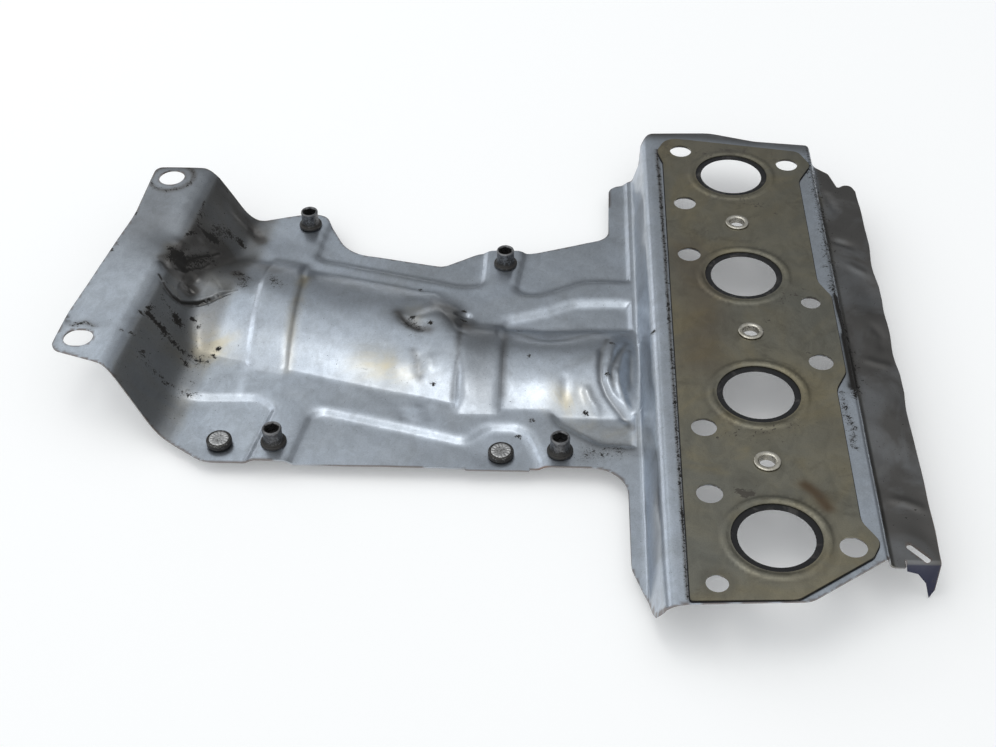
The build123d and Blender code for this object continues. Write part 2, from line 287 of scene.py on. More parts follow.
    def bump(self, height: object, strength: float, depth: float) -> bpy.types.NodeSocket:
        """Add a bump.

        Args:
            height: Height of the surface.
            strength: Strength of the bump.
            depth: What a height of 1 stands for, in metres.

        Returns:
            The bumped normal.
        """
        made = self.fill(self.node("ShaderNodeBump"), Strength=strength, Distance=depth, Height=height)
        return made.outputs["Normal"]


def new_group(name: str, inputs: dict[str, float | None],
              outputs: Sequence[str]) -> tuple[Shade, bpy.types.Node, bpy.types.Node]:
    """Start a shader node group.

    Args:
        name: Name of the group.
        inputs: Name and default of each input. None stands for a vector.
        outputs: Name of each output, all of them numbers.

    Returns:
        The group's Shade, its input node and its output node.
    """
    tree = bpy.data.node_groups.new(name, "ShaderNodeTree")
    for label, default in inputs.items():
        kind = "NodeSocketVector" if default is None else "NodeSocketFloat"
        socket = tree.interface.new_socket(name=label, in_out="INPUT", socket_type=kind)
        if default is not None:
            socket.default_value = default
    for label in outputs:
        tree.interface.new_socket(name=label, in_out="OUTPUT", socket_type="NodeSocketFloat")
    shade = Shade(tree)
    return shade, shade.node("NodeGroupInput"), shade.node("NodeGroupOutput")


@dataclass(frozen=True)
class Texture:
    """Scales of a finish, in waves per metre, and its bump, in metres."""

    clouds: float
    grain: float
    scratch_turn: float = 0.0
    stains: float = 0.0
    specks: float = 0.0
    bump_strength: float = 0.3
    bump_depth: float = 0.0001


class Effects:
    """Node groups that more than one finish uses."""

    def __init__(self) -> None:
        """Build each group once."""
        self.sheen = self._satin_grain()
        self.specks = self._dirt_specks()
        self.stain = self._heat_stain()

    @staticmethod
    def _satin_grain() -> bpy.types.NodeTree:
        """Fine grain, small mottle, broad clouds and faint scratches of rolled sheet."""
        shade, source, sink = new_group(
            "satin_grain", {"Vector": None, "Cloud Scale": 22.0, "Grain Scale": 1500.0, "Scratch Turn": 0.0},
            ("Cloud", "Mottle", "Grain", "Scratch"))
        vector, cloud_scale = source.outputs["Vector"], source.outputs["Cloud Scale"]
        cloud = shade.noise(vector, cloud_scale, 4.0, 0.6, 0.6)
        grain = shade.noise(vector, source.outputs["Grain Scale"], 2.0, 0.7)
        turn = shade.node("ShaderNodeVectorRotate", rotation_type="Z_AXIS")
        shade.fill(turn, Vector=vector, Angle=source.outputs["Scratch Turn"])
        lines = shade.noise(shade.moved(turn.outputs[0], scale=(1.0, 0.03, 0.3)), 900.0, 3.0, 0.7)
        breaks = shade.noise(vector, 60.0, 2.0)
        patches = shade.noise(shade.moved(vector, (0.21, 0.43, 0.0), (1.0, 0.6, 1.0)),
                              shade.times(cloud_scale, 9.0), 5.0, 0.7, 0.8)
        shade.fill(sink, Cloud=shade.ramp(cloud, 0.25, 0.75), Mottle=shade.ramp(patches, 0.3, 0.7), Grain=grain,
                   Scratch=shade.times(shade.ramp(lines, 0.62, 0.74), shade.ramp(breaks, 0.5, 0.66)))
        return shade.tree

    @staticmethod
    def _dirt_specks() -> bpy.types.NodeTree:
        """Ragged oily specks whose amount follows a density."""
        shade, source, sink = new_group(
            "dirt_specks", {"Vector": None, "Density": 0.2, "Size": 260.0}, ("Mask", "Film"))
        vector, density, size = (source.outputs[name] for name in ("Vector", "Density", "Size"))
        coarse = shade.noise(vector, size, 5.0, 0.68, 1.0)
        fine = shade.noise(vector, shade.times(size, 3.8), 3.0, 0.6, 0.6)
        dots = shade.noise(vector, shade.times(size, 4.6), 1.0, 0.5)
        blot_edge = shade.weighted(-0.70, (coarse, 0.66), (fine, 0.34), (density, 0.34))
        dot_edge = shade.weighted(-0.80, (dots, 1.0), (density, 0.25))
        mask = shade.math("MAXIMUM", shade.ramp(blot_edge, -0.004, 0.012), shade.ramp(dot_edge, -0.005, 0.02))
        shade.fill(sink, Mask=mask, Film=shade.ramp(blot_edge, -0.13, 0.02))
        return shade.tree

    @staticmethod
    def _heat_stain() -> bpy.types.NodeTree:
        """Broad blotches of heat tint and dried oil."""
        shade, source, sink = new_group("heat_stain", {"Vector": None, "Scale": 30.0}, ("Warm", "Dark"))
        vector, scale = source.outputs["Vector"], source.outputs["Scale"]
        warm = shade.noise(vector, scale, 4.0, 0.6, 1.2)
        dark = shade.noise(shade.moved(vector, (0.37, 0.11, 0.0)), shade.times(scale, 2.1), 6.0, 0.68, 1.0)
        shade.fill(sink, Warm=shade.ramp(warm, 0.42, 0.7), Dark=shade.ramp(dark, 0.52, 0.72))
        return shade.tree

    @staticmethod
    def _use(shade: Shade, tree: bpy.types.NodeTree, **values: object) -> dict[str, bpy.types.NodeSocket]:
        """Place a group in a material.

        Args:
            shade: The material's Shade.
            tree: The group.
            values: Input values by name, with underscores for spaces.

        Returns:
            The group's outputs by name.
        """
        made = shade.fill(shade.node("ShaderNodeGroup", node_tree=tree), Vector=shade.place(), **values)
        return {socket.name: socket for socket in made.outputs}

    def satin(self, shade: Shade, texture: Texture) -> dict[str, bpy.types.NodeSocket]:
        """Cloud, Mottle, Grain and Scratch of a finish."""
        return self._use(shade, self.sheen, Cloud_Scale=texture.clouds, Grain_Scale=texture.grain,
                         Scratch_Turn=texture.scratch_turn)

    def stains(self, shade: Shade, texture: Texture) -> dict[str, bpy.types.NodeSocket]:
        """Warm and Dark of a finish."""
        return self._use(shade, self.stain, Scale=texture.stains)

    def dirt(self, shade: Shade, texture: Texture, density: object) -> dict[str, bpy.types.NodeSocket]:
        """Mask and Film of a finish, by a density of dirt."""
        return self._use(shade, self.specks, Density=density, Size=texture.specks)


def start_material(name: str) -> tuple[bpy.types.Material, Shade, bpy.types.Node]:
    """Make an empty material with a Principled BSDF.

    Args:
        name: Name of the material.

    Returns:
        The material, its Shade and the Principled node.
    """
    material = bpy.data.materials.new(name)
    material.use_nodes = True
    material.node_tree.nodes.clear()
    shade = Shade(material.node_tree)
    bsdf = shade.node("ShaderNodeBsdfPrincipled")
    output = shade.node("ShaderNodeOutputMaterial")
    shade.join(bsdf.outputs["BSDF"], output.inputs["Surface"])
    return material, shade, bsdf


Colour = tuple[float, float, float, float]


def grey(red: float, green: float, blue: float) -> Colour:
    """A colour from three linear values."""
    return (red, green, blue, 1.0)


# --------------------------------------------------------------------------- finishes


@dataclass(frozen=True)
class ShieldSteel:
    """Satin aluminised sheet with oily dirt, warm stains, painted shade in its creases and on faces turned from the
    light, and painted highlights along lit edges.
    """

    pale: Colour = grey(0.475, 0.525, 0.595)
    deep: Colour = grey(0.40, 0.435, 0.48)
    warm: Colour = grey(0.52, 0.48, 0.38)
    # lighter, bluer tone of rubbed metal round the strip's holes, also laid on as painted highlights along lit rib and
    # flank edges
    worn_and_highlight: Colour = grey(0.56, 0.61, 0.68)
    # near black of oily specks, also used for black burn marks and for painted shadow in the deepest creases
    dirt: Colour = grey(0.009, 0.008, 0.007)
    # colour of dark stains and oil film, also laid on as painted shade in creases and on faces turned from the light
    grime_and_shade: Colour = grey(0.13, 0.125, 0.12)
    rust: Colour = grey(0.30, 0.11, 0.03)
    cut_edge: Colour = grey(0.17, 0.14, 0.125)
    # near-black blue: painted dark-blue shade on the down-turned ear
    ear_shade_blue: Colour = grey(0.018, 0.021, 0.055)
    roughness: float = 0.35
    specular: float = 0.25
    texture: Texture = Texture(24.0, 1700.0, 0.4, 26.0, 380.0, 0.35, 0.00012)

    def build(self, effects: Effects) -> bpy.types.Material:
        """Make the material.

        Args:
            effects: Shared node groups.

        Returns:
            The finished material.
        """
        material, shade, bsdf = start_material("shield_steel")
        density, rust = shade.attribute("dirt"), shade.attribute("rust")
        satin = effects.satin(shade, self.texture)
        stain = effects.stains(shade, self.texture)
        specks = effects.dirt(shade, self.texture, density)
        cloud, grain, mottle, scratch = (satin[name] for name in ("Cloud", "Grain", "Mottle", "Scratch"))
        film = shade.times(specks["Film"], shade.times(density, 0.8), clamp=True)
        # blacks: oily specks, black burn marks, and painted shadow in the deepest creases
        blacks = shade.math("MAXIMUM", specks["Mask"], shade.attribute("soot_and_shadow"), clamp=True)
        matt = shade.math("MAXIMUM", blacks, rust, clamp=True)

        # the lighter coat is worn metal round the holes and a painted highlight along the cover rib's left side and the
        # neck's near flank
        colour = shade.over(shade.mix(cloud, self.deep, self.pale),
                            (shade.times(shade.attribute("worn_and_highlight"), shade.ramp(cloud, 0.0, 1.0, 0.7, 1.1)), self.worn_and_highlight))
        colour = shade.shaded(colour, shade.ramp(grain, 0.3, 0.7, 0.92, 1.06), shade.ramp(mottle, 0.0, 1.0, 0.92, 1.05))
        tint = shade.times(shade.attribute("warmth"), shade.weighted(0.35, (stain["Warm"], 1.0)), clamp=True)
        # painted shade: the darkening layer in creases, at the feet of walls, underneath, on the sloping wall and on
        # the flange
        shadow = shade.times(shade.attribute("grime_and_shade"), shade.ramp(cloud, 0.0, 1.0, 0.75, 1.1), clamp=True)
        colour = shade.over(
            colour, (tint, self.warm), (shade.times(stain["Dark"], 0.18), self.grime_and_shade), (shadow, self.grime_and_shade),
            (shade.attribute("ear_shade"), self.ear_shade_blue), (film, self.grime_and_shade),
            (shade.times(shade.attribute("rim"), 0.8), self.cut_edge), (rust, self.rust), (blacks, self.dirt))
        rough = shade.weighted(self.roughness, (mottle, -0.05), (scratch, -0.06), (film, 0.14), (matt, 0.2), clamp=True)
        height = shade.weighted(0.0, (grain, 0.20), (scratch, -0.25), (blacks, 0.9))
        shade.fill(bsdf, Base_Color=colour, Metallic=shade.ramp(matt, 0.0, 1.0, 1.0, 0.0), Roughness=rough,
                   Specular_IOR_Level=self.specular,
                   Normal=shade.bump(height, self.texture.bump_strength, self.texture.bump_depth))
        return material


@dataclass(frozen=True)
class GasketSteel:
    """Olive, heat-tinted steel of the gasket's upper layer, with stains and painted shade at the feet of its port
    beads.
    """

    olive: Colour = grey(0.262, 0.242, 0.182)
    cool: Colour = grey(0.190, 0.188, 0.162)
    gold: Colour = grey(0.31, 0.26, 0.15)
    brown: Colour = grey(0.12, 0.075, 0.04)
    # colour of dark stains and dirt, also laid on as painted shade at the beads' feet
    stain: Colour = grey(0.045, 0.038, 0.03)
    roughness: float = 0.40
    texture: Texture = Texture(14.0, 1900.0, 1.1, 19.0, 210.0)

    def build(self, effects: Effects) -> bpy.types.Material:
        """Make the material.

        Args:
            effects: Shared node groups.

        Returns:
            The finished material.
        """
        material, shade, bsdf = start_material("gasket_steel")
        satin = effects.satin(shade, self.texture)
        stain = effects.stains(shade, self.texture)
        blacks = shade.times(effects.dirt(shade, self.texture, shade.attribute("dirt"))["Mask"], 0.9)
        grime_and_shade = shade.times(shade.attribute("grime_and_shade"), shade.ramp(stain["Dark"], 0.0, 0.6, 0.5, 1.1), clamp=True)

        colour = shade.over(shade.mix(satin["Cloud"], self.cool, self.olive),
                            (shade.times(stain["Warm"], 0.5), self.gold))
        colour = shade.shaded(colour, shade.ramp(satin["Grain"], 0.3, 0.7, 0.92, 1.05),
                              shade.ramp(satin["Mottle"], 0.0, 1.0, 0.90, 1.06))
        # the darkening coat from the mesh layer is painted shade at the feet of the port beads and dark stain elsewhere
        colour = shade.over(colour, (shade.times(stain["Dark"], 0.32), self.stain),
                            (shade.attribute("warmth"), self.brown), (grime_and_shade, self.stain), (blacks, self.stain))
        metal = shade.ramp(shade.math("MAXIMUM", grime_and_shade, blacks), 0.0, 1.0, 1.0, 0.3)
        rough = shade.weighted(self.roughness, (satin["Cloud"], -0.06), (grime_and_shade, 0.2), (satin["Scratch"], -0.1),
                               clamp=True)
        height = shade.weighted(0.0, (satin["Grain"], 0.3), (satin["Scratch"], -0.4))
        shade.fill(bsdf, Base_Color=colour, Metallic=metal, Roughness=rough,
                   Normal=shade.bump(height, self.texture.bump_strength, self.texture.bump_depth))
        return material


@dataclass(frozen=True)
class CoatedLayer:
    """Matt black coating of the gasket's lower layer."""

    black: Colour = grey(0.012, 0.012, 0.013)
    worn: Colour = grey(0.05, 0.047, 0.045)
    specular: float = 0.25
    texture: Texture = Texture(120.0, 2500.0, bump_strength=0.4)

    def build(self, effects: Effects) -> bpy.types.Material:
        """Make the material.

        Args:
            effects: Shared node groups.

        Returns:
            The finished material.
        """
        material, shade, bsdf = start_material("gasket_coating")
        satin = effects.satin(shade, self.texture)
        colour = shade.mix(shade.ramp(satin["Cloud"], 0.55, 1.0), self.black, self.worn)
        shade.fill(bsdf, Base_Color=colour, Roughness=shade.ramp(satin["Grain"], 0.3, 0.7, 0.55, 0.68),
                   Specular_IOR_Level=self.specular,
                   Normal=shade.bump(satin["Grain"], self.texture.bump_strength, self.texture.bump_depth))
        return material


@dataclass(frozen=True)
class FastenerSteel:
    """Zinc-plated or bright steel of a fastener, dirty in its hollows."""

    name: str
    metal: Colour
    dull: Colour
    dirt: Colour = grey(0.02, 0.018, 0.016)
    roughness: float = 0.32
    dirt_amount: float = 0.4
    texture: Texture = Texture(260.0, 4200.0, specks=620.0, bump_depth=0.00003)

    def build(self, effects: Effects) -> bpy.types.Material:
        """Make the material.

        Args:
            effects: Shared node groups.

        Returns:
            The finished material.
        """
        material, shade, bsdf = start_material(self.name)
        satin = effects.satin(shade, self.texture)
        density = shade.times(shade.attribute("dirt"), self.dirt_amount)
        specks = effects.dirt(shade, self.texture, density)
        film = shade.times(specks["Film"], density, clamp=True)
        colour = shade.over(shade.mix(satin["Cloud"], self.dull, self.metal), (film, self.dirt),
                            (specks["Mask"], self.dirt))
        shade.fill(bsdf, Base_Color=colour, Metallic=shade.ramp(specks["Mask"], 0.0, 1.0, 1.0, 0.15),
                   Roughness=shade.weighted(self.roughness, (satin["Grain"], 0.12), (film, 0.2), clamp=True),
                   Normal=shade.bump(satin["Grain"], self.texture.bump_strength, self.texture.bump_depth))
        return material


SCREW_STEEL = FastenerSteel("screw_steel", grey(0.24, 0.24, 0.245), grey(0.12, 0.12, 0.125), dirt_amount=0.9)
STUD_STEEL = FastenerSteel("stud_steel", grey(0.46, 0.46, 0.46), grey(0.33, 0.33, 0.33), dirt_amount=0.9)
EYELET_STEEL = FastenerSteel("eyelet_steel", grey(0.70, 0.67, 0.60), grey(0.44, 0.41, 0.34), roughness=0.2,
                             dirt_amount=0.5)


# --------------------------------------------------------------------------- mesh helpers


def copied_form(node: str) -> bmesh.types.BMesh:
    """Copy a CAD node's mesh with its flat facets joined.

    Args:
        node: Name of the CAD node.

    Returns:
        The joined mesh, in metres.
    """
    form = bmesh.new()
    form.from_mesh(bpy.data.objects[node].data)
    bmesh.ops.remove_doubles(form, verts=form.verts, dist=JOIN_GAP)
    bmesh.ops.dissolve_limit(form, angle_limit=math.radians(FLAT_ANGLE), verts=form.verts, edges=form.edges,
                             delimit={"NORMAL"})
    return form


def cut_faces(form: bmesh.types.BMesh, faces: Sequence[bmesh.types.BMFace], axis: Axis,
              places: Sequence[float]) -> list[bmesh.types.BMFace]:
    """Cut faces along parallel planes, halving the work at each step.

    Args:
        form: Mesh that holds the faces.
        faces: Faces to cut.
        axis: Axis that the planes stand square to.
        places: Places of the planes in rising order, in millimetres.

    Returns:
        The faces after the cuts.
    """
    if not places or not faces:
        return list(faces)
    middle = len(places) // 2
    normal = Vector((0.0, 0.0, 0.0))
    normal[axis.value] = 1.0
    place = places[middle] * MM
    elements = set(faces)
    for face in faces:
        elements.update(face.edges)
        elements.update(face.verts)
    made = bmesh.ops.bisect_plane(form, geom=list(elements), dist=1e-6, plane_co=normal * place, plane_no=normal)
    below, above = [], []
    for item in made["geom"]:
        if isinstance(item, bmesh.types.BMFace):
            side = below if item.calc_center_median()[axis.value] < place else above
            side.append(item)
    return cut_faces(form, below, axis, places[:middle]) + cut_faces(form, above, axis, places[middle + 1:])


def cut_places(start: float, stop: float, step: float, gaps: Sequence[Point2] = ()) -> list[float]:
    """Evenly spaced places, left out where a bend needs its own facets.

    Args:
        start: First place.
        stop: Last place.
        step: Spacing.
        gaps: Ranges with no places in them.

    Returns:
        The places that stay.
    """
    places = [start + step * index for index in range(int((stop - start) / step) + 1)]
    return [p for p in places if not any(low < p < high for low, high in gaps)]


def finish_mesh(form: bmesh.types.BMesh, name: str, sharp_angle: float,
                finish: bpy.types.Material) -> bpy.types.Object:
    """Turn a bmesh into a linked object with smooth faces, sharp edges by angle, and its material.

    Args:
        form: The mesh, which is freed.
        name: Name of the piece.
        sharp_angle: Angle, in degrees, above which an edge stays sharp.
        finish: Material of the piece.

    Returns:
        The new object.
    """
    limit = math.radians(sharp_angle)
    form.normal_update()
    for face in form.faces:
        face.smooth = True
    for edge in form.edges:
        edge.smooth = len(edge.link_faces) == 2 and edge.calc_face_angle(0.0) < limit
    mesh = bpy.data.meshes.new(name)
    form.to_mesh(mesh)
    form.free()
    mesh.materials.append(finish)
    piece = bpy.data.objects.new(name, mesh)
    bpy.context.scene.collection.objects.link(piece)
    return piece


def positions(form: bmesh.types.BMesh) -> np.ndarray:
    """Vertex positions of a mesh, in millimetres."""
    return np.array([vert.co[:] for vert in form.verts]) / MM


def write_layer(form: bmesh.types.BMesh, name: str, values: np.ndarray) -> None:
    """Store one number per vertex of a bmesh.

    Args:
        form: Mesh to write to.
        name: Layer's name.
        values: One value per vertex.
    """
    layer = form.verts.layers.float.new(name)
    for vert, value in zip(form.verts, np.clip(values, 0.0, 1.0)):
        vert[layer] = float(value)


def end_fade(share: np.ndarray, fade: float) -> np.ndarray:
    """Strength of a shape that dies away over a share of its length at both ends."""
    return smooth_step(share, -1e-6, fade) * smooth_step(1 - share, -1e-6, fade)


def ripple(x: np.ndarray, y: np.ndarray, seed: int, length: float, count: int = 9) -> np.ndarray:
    """Smooth seeded unevenness, about -1 to 1, made of plane waves.

    Args:
        x: First coordinate.
        y: Second coordinate.
        seed: Seed of the wave directions.
        length: Mean wave length, in the coordinates' unit.
        count: Number of waves.

    Returns:
        The unevenness at each point.
    """
    draw = random.Random(seed)
    total = np.zeros_like(x)
    for _ in range(count):
        turn = draw.uniform(0, math.tau)
        wave = math.tau / (length * draw.uniform(0.6, 1.7))
        total += np.sin((x * math.cos(turn) + y * math.sin(turn)) * wave + draw.uniform(0, math.tau))
    return total / math.sqrt(count)


def smooth_step(value: np.ndarray, low: float, high: float) -> np.ndarray:
    """Smooth 0 to 1 change of a value between two limits."""
    share = np.clip((value - low) / (high - low), 0.0, 1.0)
    return share * share * (3 - 2 * share)


def along_line(x: np.ndarray, y: np.ndarray, points: Sequence[Point2]) -> tuple[np.ndarray, np.ndarray]:
    """Signed distance to a line through points, and the share of its length at the nearest place.

    Args:
        x: First coordinate of each point.
        y: Second coordinate of each point.
        points: The line's corners.

    Returns:
        The distance, positive on the left of the way along the line, and the share from 0 to 1.
    """
    corners = np.array(points, float)
    lengths = np.hypot(*np.diff(corners, axis=0).T)
    best = np.full(x.shape, 1e9)
    side = np.zeros_like(x)
    share = np.zeros_like(x)
    done = 0.0
    for start, end, length in zip(corners, corners[1:], lengths):
        way = (end - start) / length
        along = np.clip((x - start[0]) * way[0] + (y - start[1]) * way[1], 0, length)
        gap_x = x - start[0] - way[0] * along
        gap_y = y - start[1] - way[1] * along
        gap = np.hypot(gap_x, gap_y)
        nearer = gap < best
        best = np.where(nearer, gap, best)
        side = np.where(nearer, way[0] * gap_y - way[1] * gap_x, side)
        share = np.where(nearer, (done + along) / lengths.sum(), share)
        done += length
    return np.where(side >= 0, best, -best), share


# --------------------------------------------------------------------------- dents and folds


class Relief:
    """A shape that raises or lowers the sheet over places in plan."""

    def lift(self, x: np.ndarray, y: np.ndarray) -> np.ndarray:
        """Height that the shape adds.

        Args:
            x: X of each point, in millimetres.
            y: Y of each point.

        Returns:
            The added height, negative in a hollow.
        """
        raise NotImplementedError


@dataclass(frozen=True)
class Fold(Relief):
    """A crease or ridge along a line: a bell on each side of it, which fades at both ends."""

    line: Line
    height: float
    left_width: float
    right_width: float
    fade: float = 0.25

    def lift(self, x: np.ndarray, y: np.ndarray) -> np.ndarray:
        """Height that the fold adds.

        Args:
            x: X of each point, in millimetres.
            y: Y of each point.

        Returns:
            The added height, negative in a crease.
        """
        gap, share = along_line(x, y, self.line)
        width = np.where(gap >= 0, self.left_width, self.right_width)
        return self.height * np.exp(-0.5 * (gap / width) ** 2) * end_fade(share, self.fade)


@dataclass(frozen=True)
class Lap(Relief):
    """A lip where the sheet has folded over itself: a groove, and a raised edge on the left of its line."""

    line: Line
    lip: float
    groove: float
    reach: float
    groove_width: float = 0.7
    step: float = 0.5
    fade: float = 0.25

    def lift(self, x: np.ndarray, y: np.ndarray) -> np.ndarray:
        """Height that the lap adds.

        Args:
            x: X of each point, in millimetres.
            y: Y of each point.

        Returns:
            The added height.
        """
        gap, share = along_line(x, y, self.line)
        raised = self.lip * smooth_step(gap, -self.step, self.step) * np.exp(-np.maximum(gap, 0.0) / self.reach)
        hollow = self.groove * np.exp(-0.5 * ((gap + self.step) / self.groove_width) ** 2)
        return (raised - hollow) * end_fade(share, self.fade)


@dataclass(frozen=True)
class Dent(Relief):
    """An oval hollow, or a bulge when its depth is negative."""

    centre: Point2
    reach: Point2
    depth: float
    turn: float = 0.0

    def lift(self, x: np.ndarray, y: np.ndarray) -> np.ndarray:
        """Height that the dent adds.

        Args:
            x: X of each point, in millimetres.
            y: Y of each point.

        Returns:
            The added height, negative in a hollow.
        """
        angle = math.radians(self.turn)
        dx, dy = x - self.centre[0], y - self.centre[1]
        u = (dx * math.cos(angle) + dy * math.sin(angle)) / self.reach[0]
        v = (dy * math.cos(angle) - dx * math.sin(angle)) / self.reach[1]
        return -self.depth * np.exp(-0.5 * (u * u + v * v))


class Layer(Enum):
    """Dirt, wear, painted shade and painted highlight layers that a finish reads from the mesh."""

    DIRT = "dirt"
    GRIME_AND_SHADE = "grime_and_shade"
    SOOT_AND_SHADOW = "soot_and_shadow"
    WARMTH = "warmth"
    RUST = "rust"
    EAR_SHADE = "ear_shade"
    WORN_AND_HIGHLIGHT = "worn_and_highlight"


@dataclass(frozen=True)
class Mark:
    """A patch of dirt, stain, wear, painted shade or painted highlight along a line in plan, or round one point."""

    layer: Layer
    amount: float
    reach: float
    line: Line
    ring: float = 0.0

    def cover(self, x: np.ndarray, y: np.ndarray) -> np.ndarray:
        """Amount of the mark at each point.

        Args:
            x: X of each point, in millimetres.
            y: Y of each point.

        Returns:
            The amount, fading away from the mark's line, or from its ring.
        """
        if len(self.line) == 1:
            gap = np.abs(np.hypot(x - self.line[0][0], y - self.line[0][1]) - self.ring)
        else:
            gap = np.abs(along_line(x, y, self.line)[0])
        return self.amount * np.exp(-0.5 * (gap / self.reach) ** 2)


def add_marks(layers: dict[Layer, np.ndarray], marks: Sequence[Mark], x: np.ndarray, y: np.ndarray) -> None:
    """Add the amounts of marks to the layers they belong to.

    Args:
        layers: Amount of each layer at each point, which grows.
        marks: The marks.
        x: X of each point, in millimetres.
        y: Y of each point.
    """
    for mark in marks:
        layers[mark.layer] += mark.cover(x, y)


class HeightMap:
    """Height of the sheet's upper skin over a grid in plan, in millimetres."""

    step = 0.8
    margin = 9.0
    top = 100.0

    def __init__(self, node: str) -> None:
        """Sample the skin from above.

        Args:
            node: Name of the CAD node.
        """
        low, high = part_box(node)
        self.x0 = low[0] / MM - self.margin
        self.y0 = low[1] / MM - self.margin
        columns = int((high[0] / MM + self.margin - self.x0) / self.step) + 1
        rows = int((high[1] / MM + self.margin - self.y0) / self.step) + 1
        self.tree = BVHTree.FromObject(bpy.data.objects[node], bpy.context.evaluated_depsgraph_get())
        heights = np.zeros((columns, rows))
        valid = np.zeros((columns, rows), bool)
        for i in range(columns):
            x = self.x0 + i * self.step
            for j in range(rows):
                height = self.above(x, self.y0 + j * self.step)
                if height is not None:
                    heights[i, j] = height
                    valid[i, j] = True
        self.valid = valid
        self.raw = heights

    def above(self, x: float, y: float) -> float | None:
        """Height of the skin over a point, or None off the sheet."""
        hit = self.tree.ray_cast(Vector((x * MM, y * MM, self.top * MM)), Vector((0, 0, -1)))[0]
        return None if hit is None else hit.z / MM

    def grid(self) -> tuple[np.ndarray, np.ndarray]:
        """Plan coordinates of the grid's points."""
        columns, rows = self.raw.shape
        return np.meshgrid(self.x0 + np.arange(columns) * self.step, self.y0 + np.arange(rows) * self.step,
                           indexing="ij")

    def extended(self, heights: np.ndarray, rings: int) -> np.ndarray:
        """Carry slopes on past the edges and over the holes.

        Args:
            heights: Heights, right where the map is valid.
            rings: How many cells to go out.

        Returns:
            The extended heights.
        """
        known = self.valid.copy()
        result = np.where(known, heights, 0.0)
        ways = [(i, j) for i in (-1, 0, 1) for j in (-1, 0, 1) if (i, j) != (0, 0)]
        for _ in range(rings):
            total = np.zeros_like(result)
            count = np.zeros_like(result)
            for way in ways:
                far = (2 * way[0], 2 * way[1])
                both = np.roll(known, way, (0, 1)) & np.roll(known, far, (0, 1))
                near = np.roll(result, way, (0, 1))
                step = np.clip(near - np.roll(result, far, (0, 1)), -self.step, self.step)
                total += np.where(both, near + step, 0.0)
                count += both
            fresh = ~known & (count > 0)
            result = np.where(fresh, total / np.maximum(count, 1), result)
            known |= fresh
        return result

    def opened(self, heights: np.ndarray, radius: float, drop: float) -> np.ndarray:
        """Round the crests to a bend radius, and leave the hollow creases as they are.

        Args:
            heights: Heights over the whole grid.
            radius: Radius of the rounded crests, in millimetres.
            drop: Deepest crest to round.

        Returns:
            The rounded heights.
        """
        reach = math.ceil(math.sqrt(2 * radius * drop) / self.step)
        shifts = [(k, (k * self.step) ** 2 / (2 * radius)) for k in range(-reach, reach + 1)]
        result = heights
        for axis in (0, 1):
            result = np.min([np.roll(result, k, axis) + rise for k, rise in shifts], axis=0)
        for axis in (0, 1):
            result = np.max([np.roll(result, k, axis) - rise for k, rise in shifts], axis=0)
        return result

    def blurred(self, heights: np.ndarray, sigma: float) -> np.ndarray:
        """Even out heights with a bell of the given width, in millimetres.

        Args:
            heights: Heights over the grid.
            sigma: The bell's width, in millimetres.

        Returns:
            The evened heights.
        """
        reach = math.ceil(3 * sigma / self.step)
        weights = [math.exp(-0.5 * (k * self.step / sigma) ** 2) for k in range(-reach, reach + 1)]
        result = heights
        for axis in (0, 1):
            parts = [w * np.roll(result, k, axis) for k, w in zip(range(-reach, reach + 1), weights)]
            result = np.sum(parts, axis=0) / sum(weights)
        return result

    def sample(self, values: np.ndarray, x: np.ndarray, y: np.ndarray) -> np.ndarray:
        """Read a grid of values between its points.

        Args:
            values: Values on the grid.
            x: X of each point, in millimetres.
            y: Y of each point.

        Returns:
            The interpolated values.
        """
        u = np.clip((x - self.x0) / self.step, 1, values.shape[0] - 2.001)
        v = np.clip((y - self.y0) / self.step, 1, values.shape[1] - 2.001)
        i, j = u.astype(int), v.astype(int)
        across, along = spline_weights(u - i), spline_weights(v - j)
        total = np.zeros_like(x)
        for a in range(4):
            for b in range(4):
                total += across[a] * along[b] * values[i + a - 1, j + b - 1]
        return total


def spline_weights(share: np.ndarray) -> tuple[np.ndarray, ...]:
    """Weights of four neighbours for a smooth curve through them.

    Args:
        share: Place between the two middle neighbours, from 0 to 1.

    Returns:
        One weight for each neighbour.
    """
    s = share
    return (
        0.5 * (-s + 2 * s**2 - s**3),
        0.5 * (2 - 5 * s**2 + 3 * s**3),
        0.5 * (s + 4 * s**2 - 3 * s**3),
        0.5 * (-(s**2) + s**3),
    )


# --------------------------------------------------------------------------- the pressed sheet


@dataclass(frozen=True)
class Crown:
    """Round-topped stretch of the sheet: its width, rise, centre and turn in plan."""

    width: float
    rise: float
    centre: Point2
    turn: float
    foot: float = -19.5

    def height(self, x: np.ndarray, y: np.ndarray, raised: float) -> np.ndarray:
        """Height of the crown, raised by an amount, over each point.

        Args:
            x: X of each point, in millimetres.
            y: Y of each point.
            raised: How much larger the radius is than that of the crown itself.

        Returns:
            The heights.
        """
        angle = math.radians(self.turn)
        off = -(x - self.centre[0]) * math.sin(angle) + (y - self.centre[1]) * math.cos(angle)
        radius = (self.width**2 / 4 + self.rise**2) / (2 * self.rise)
        return self.foot + self.rise - radius + np.sqrt(np.maximum((radius + raised) ** 2 - off**2, 0.0))


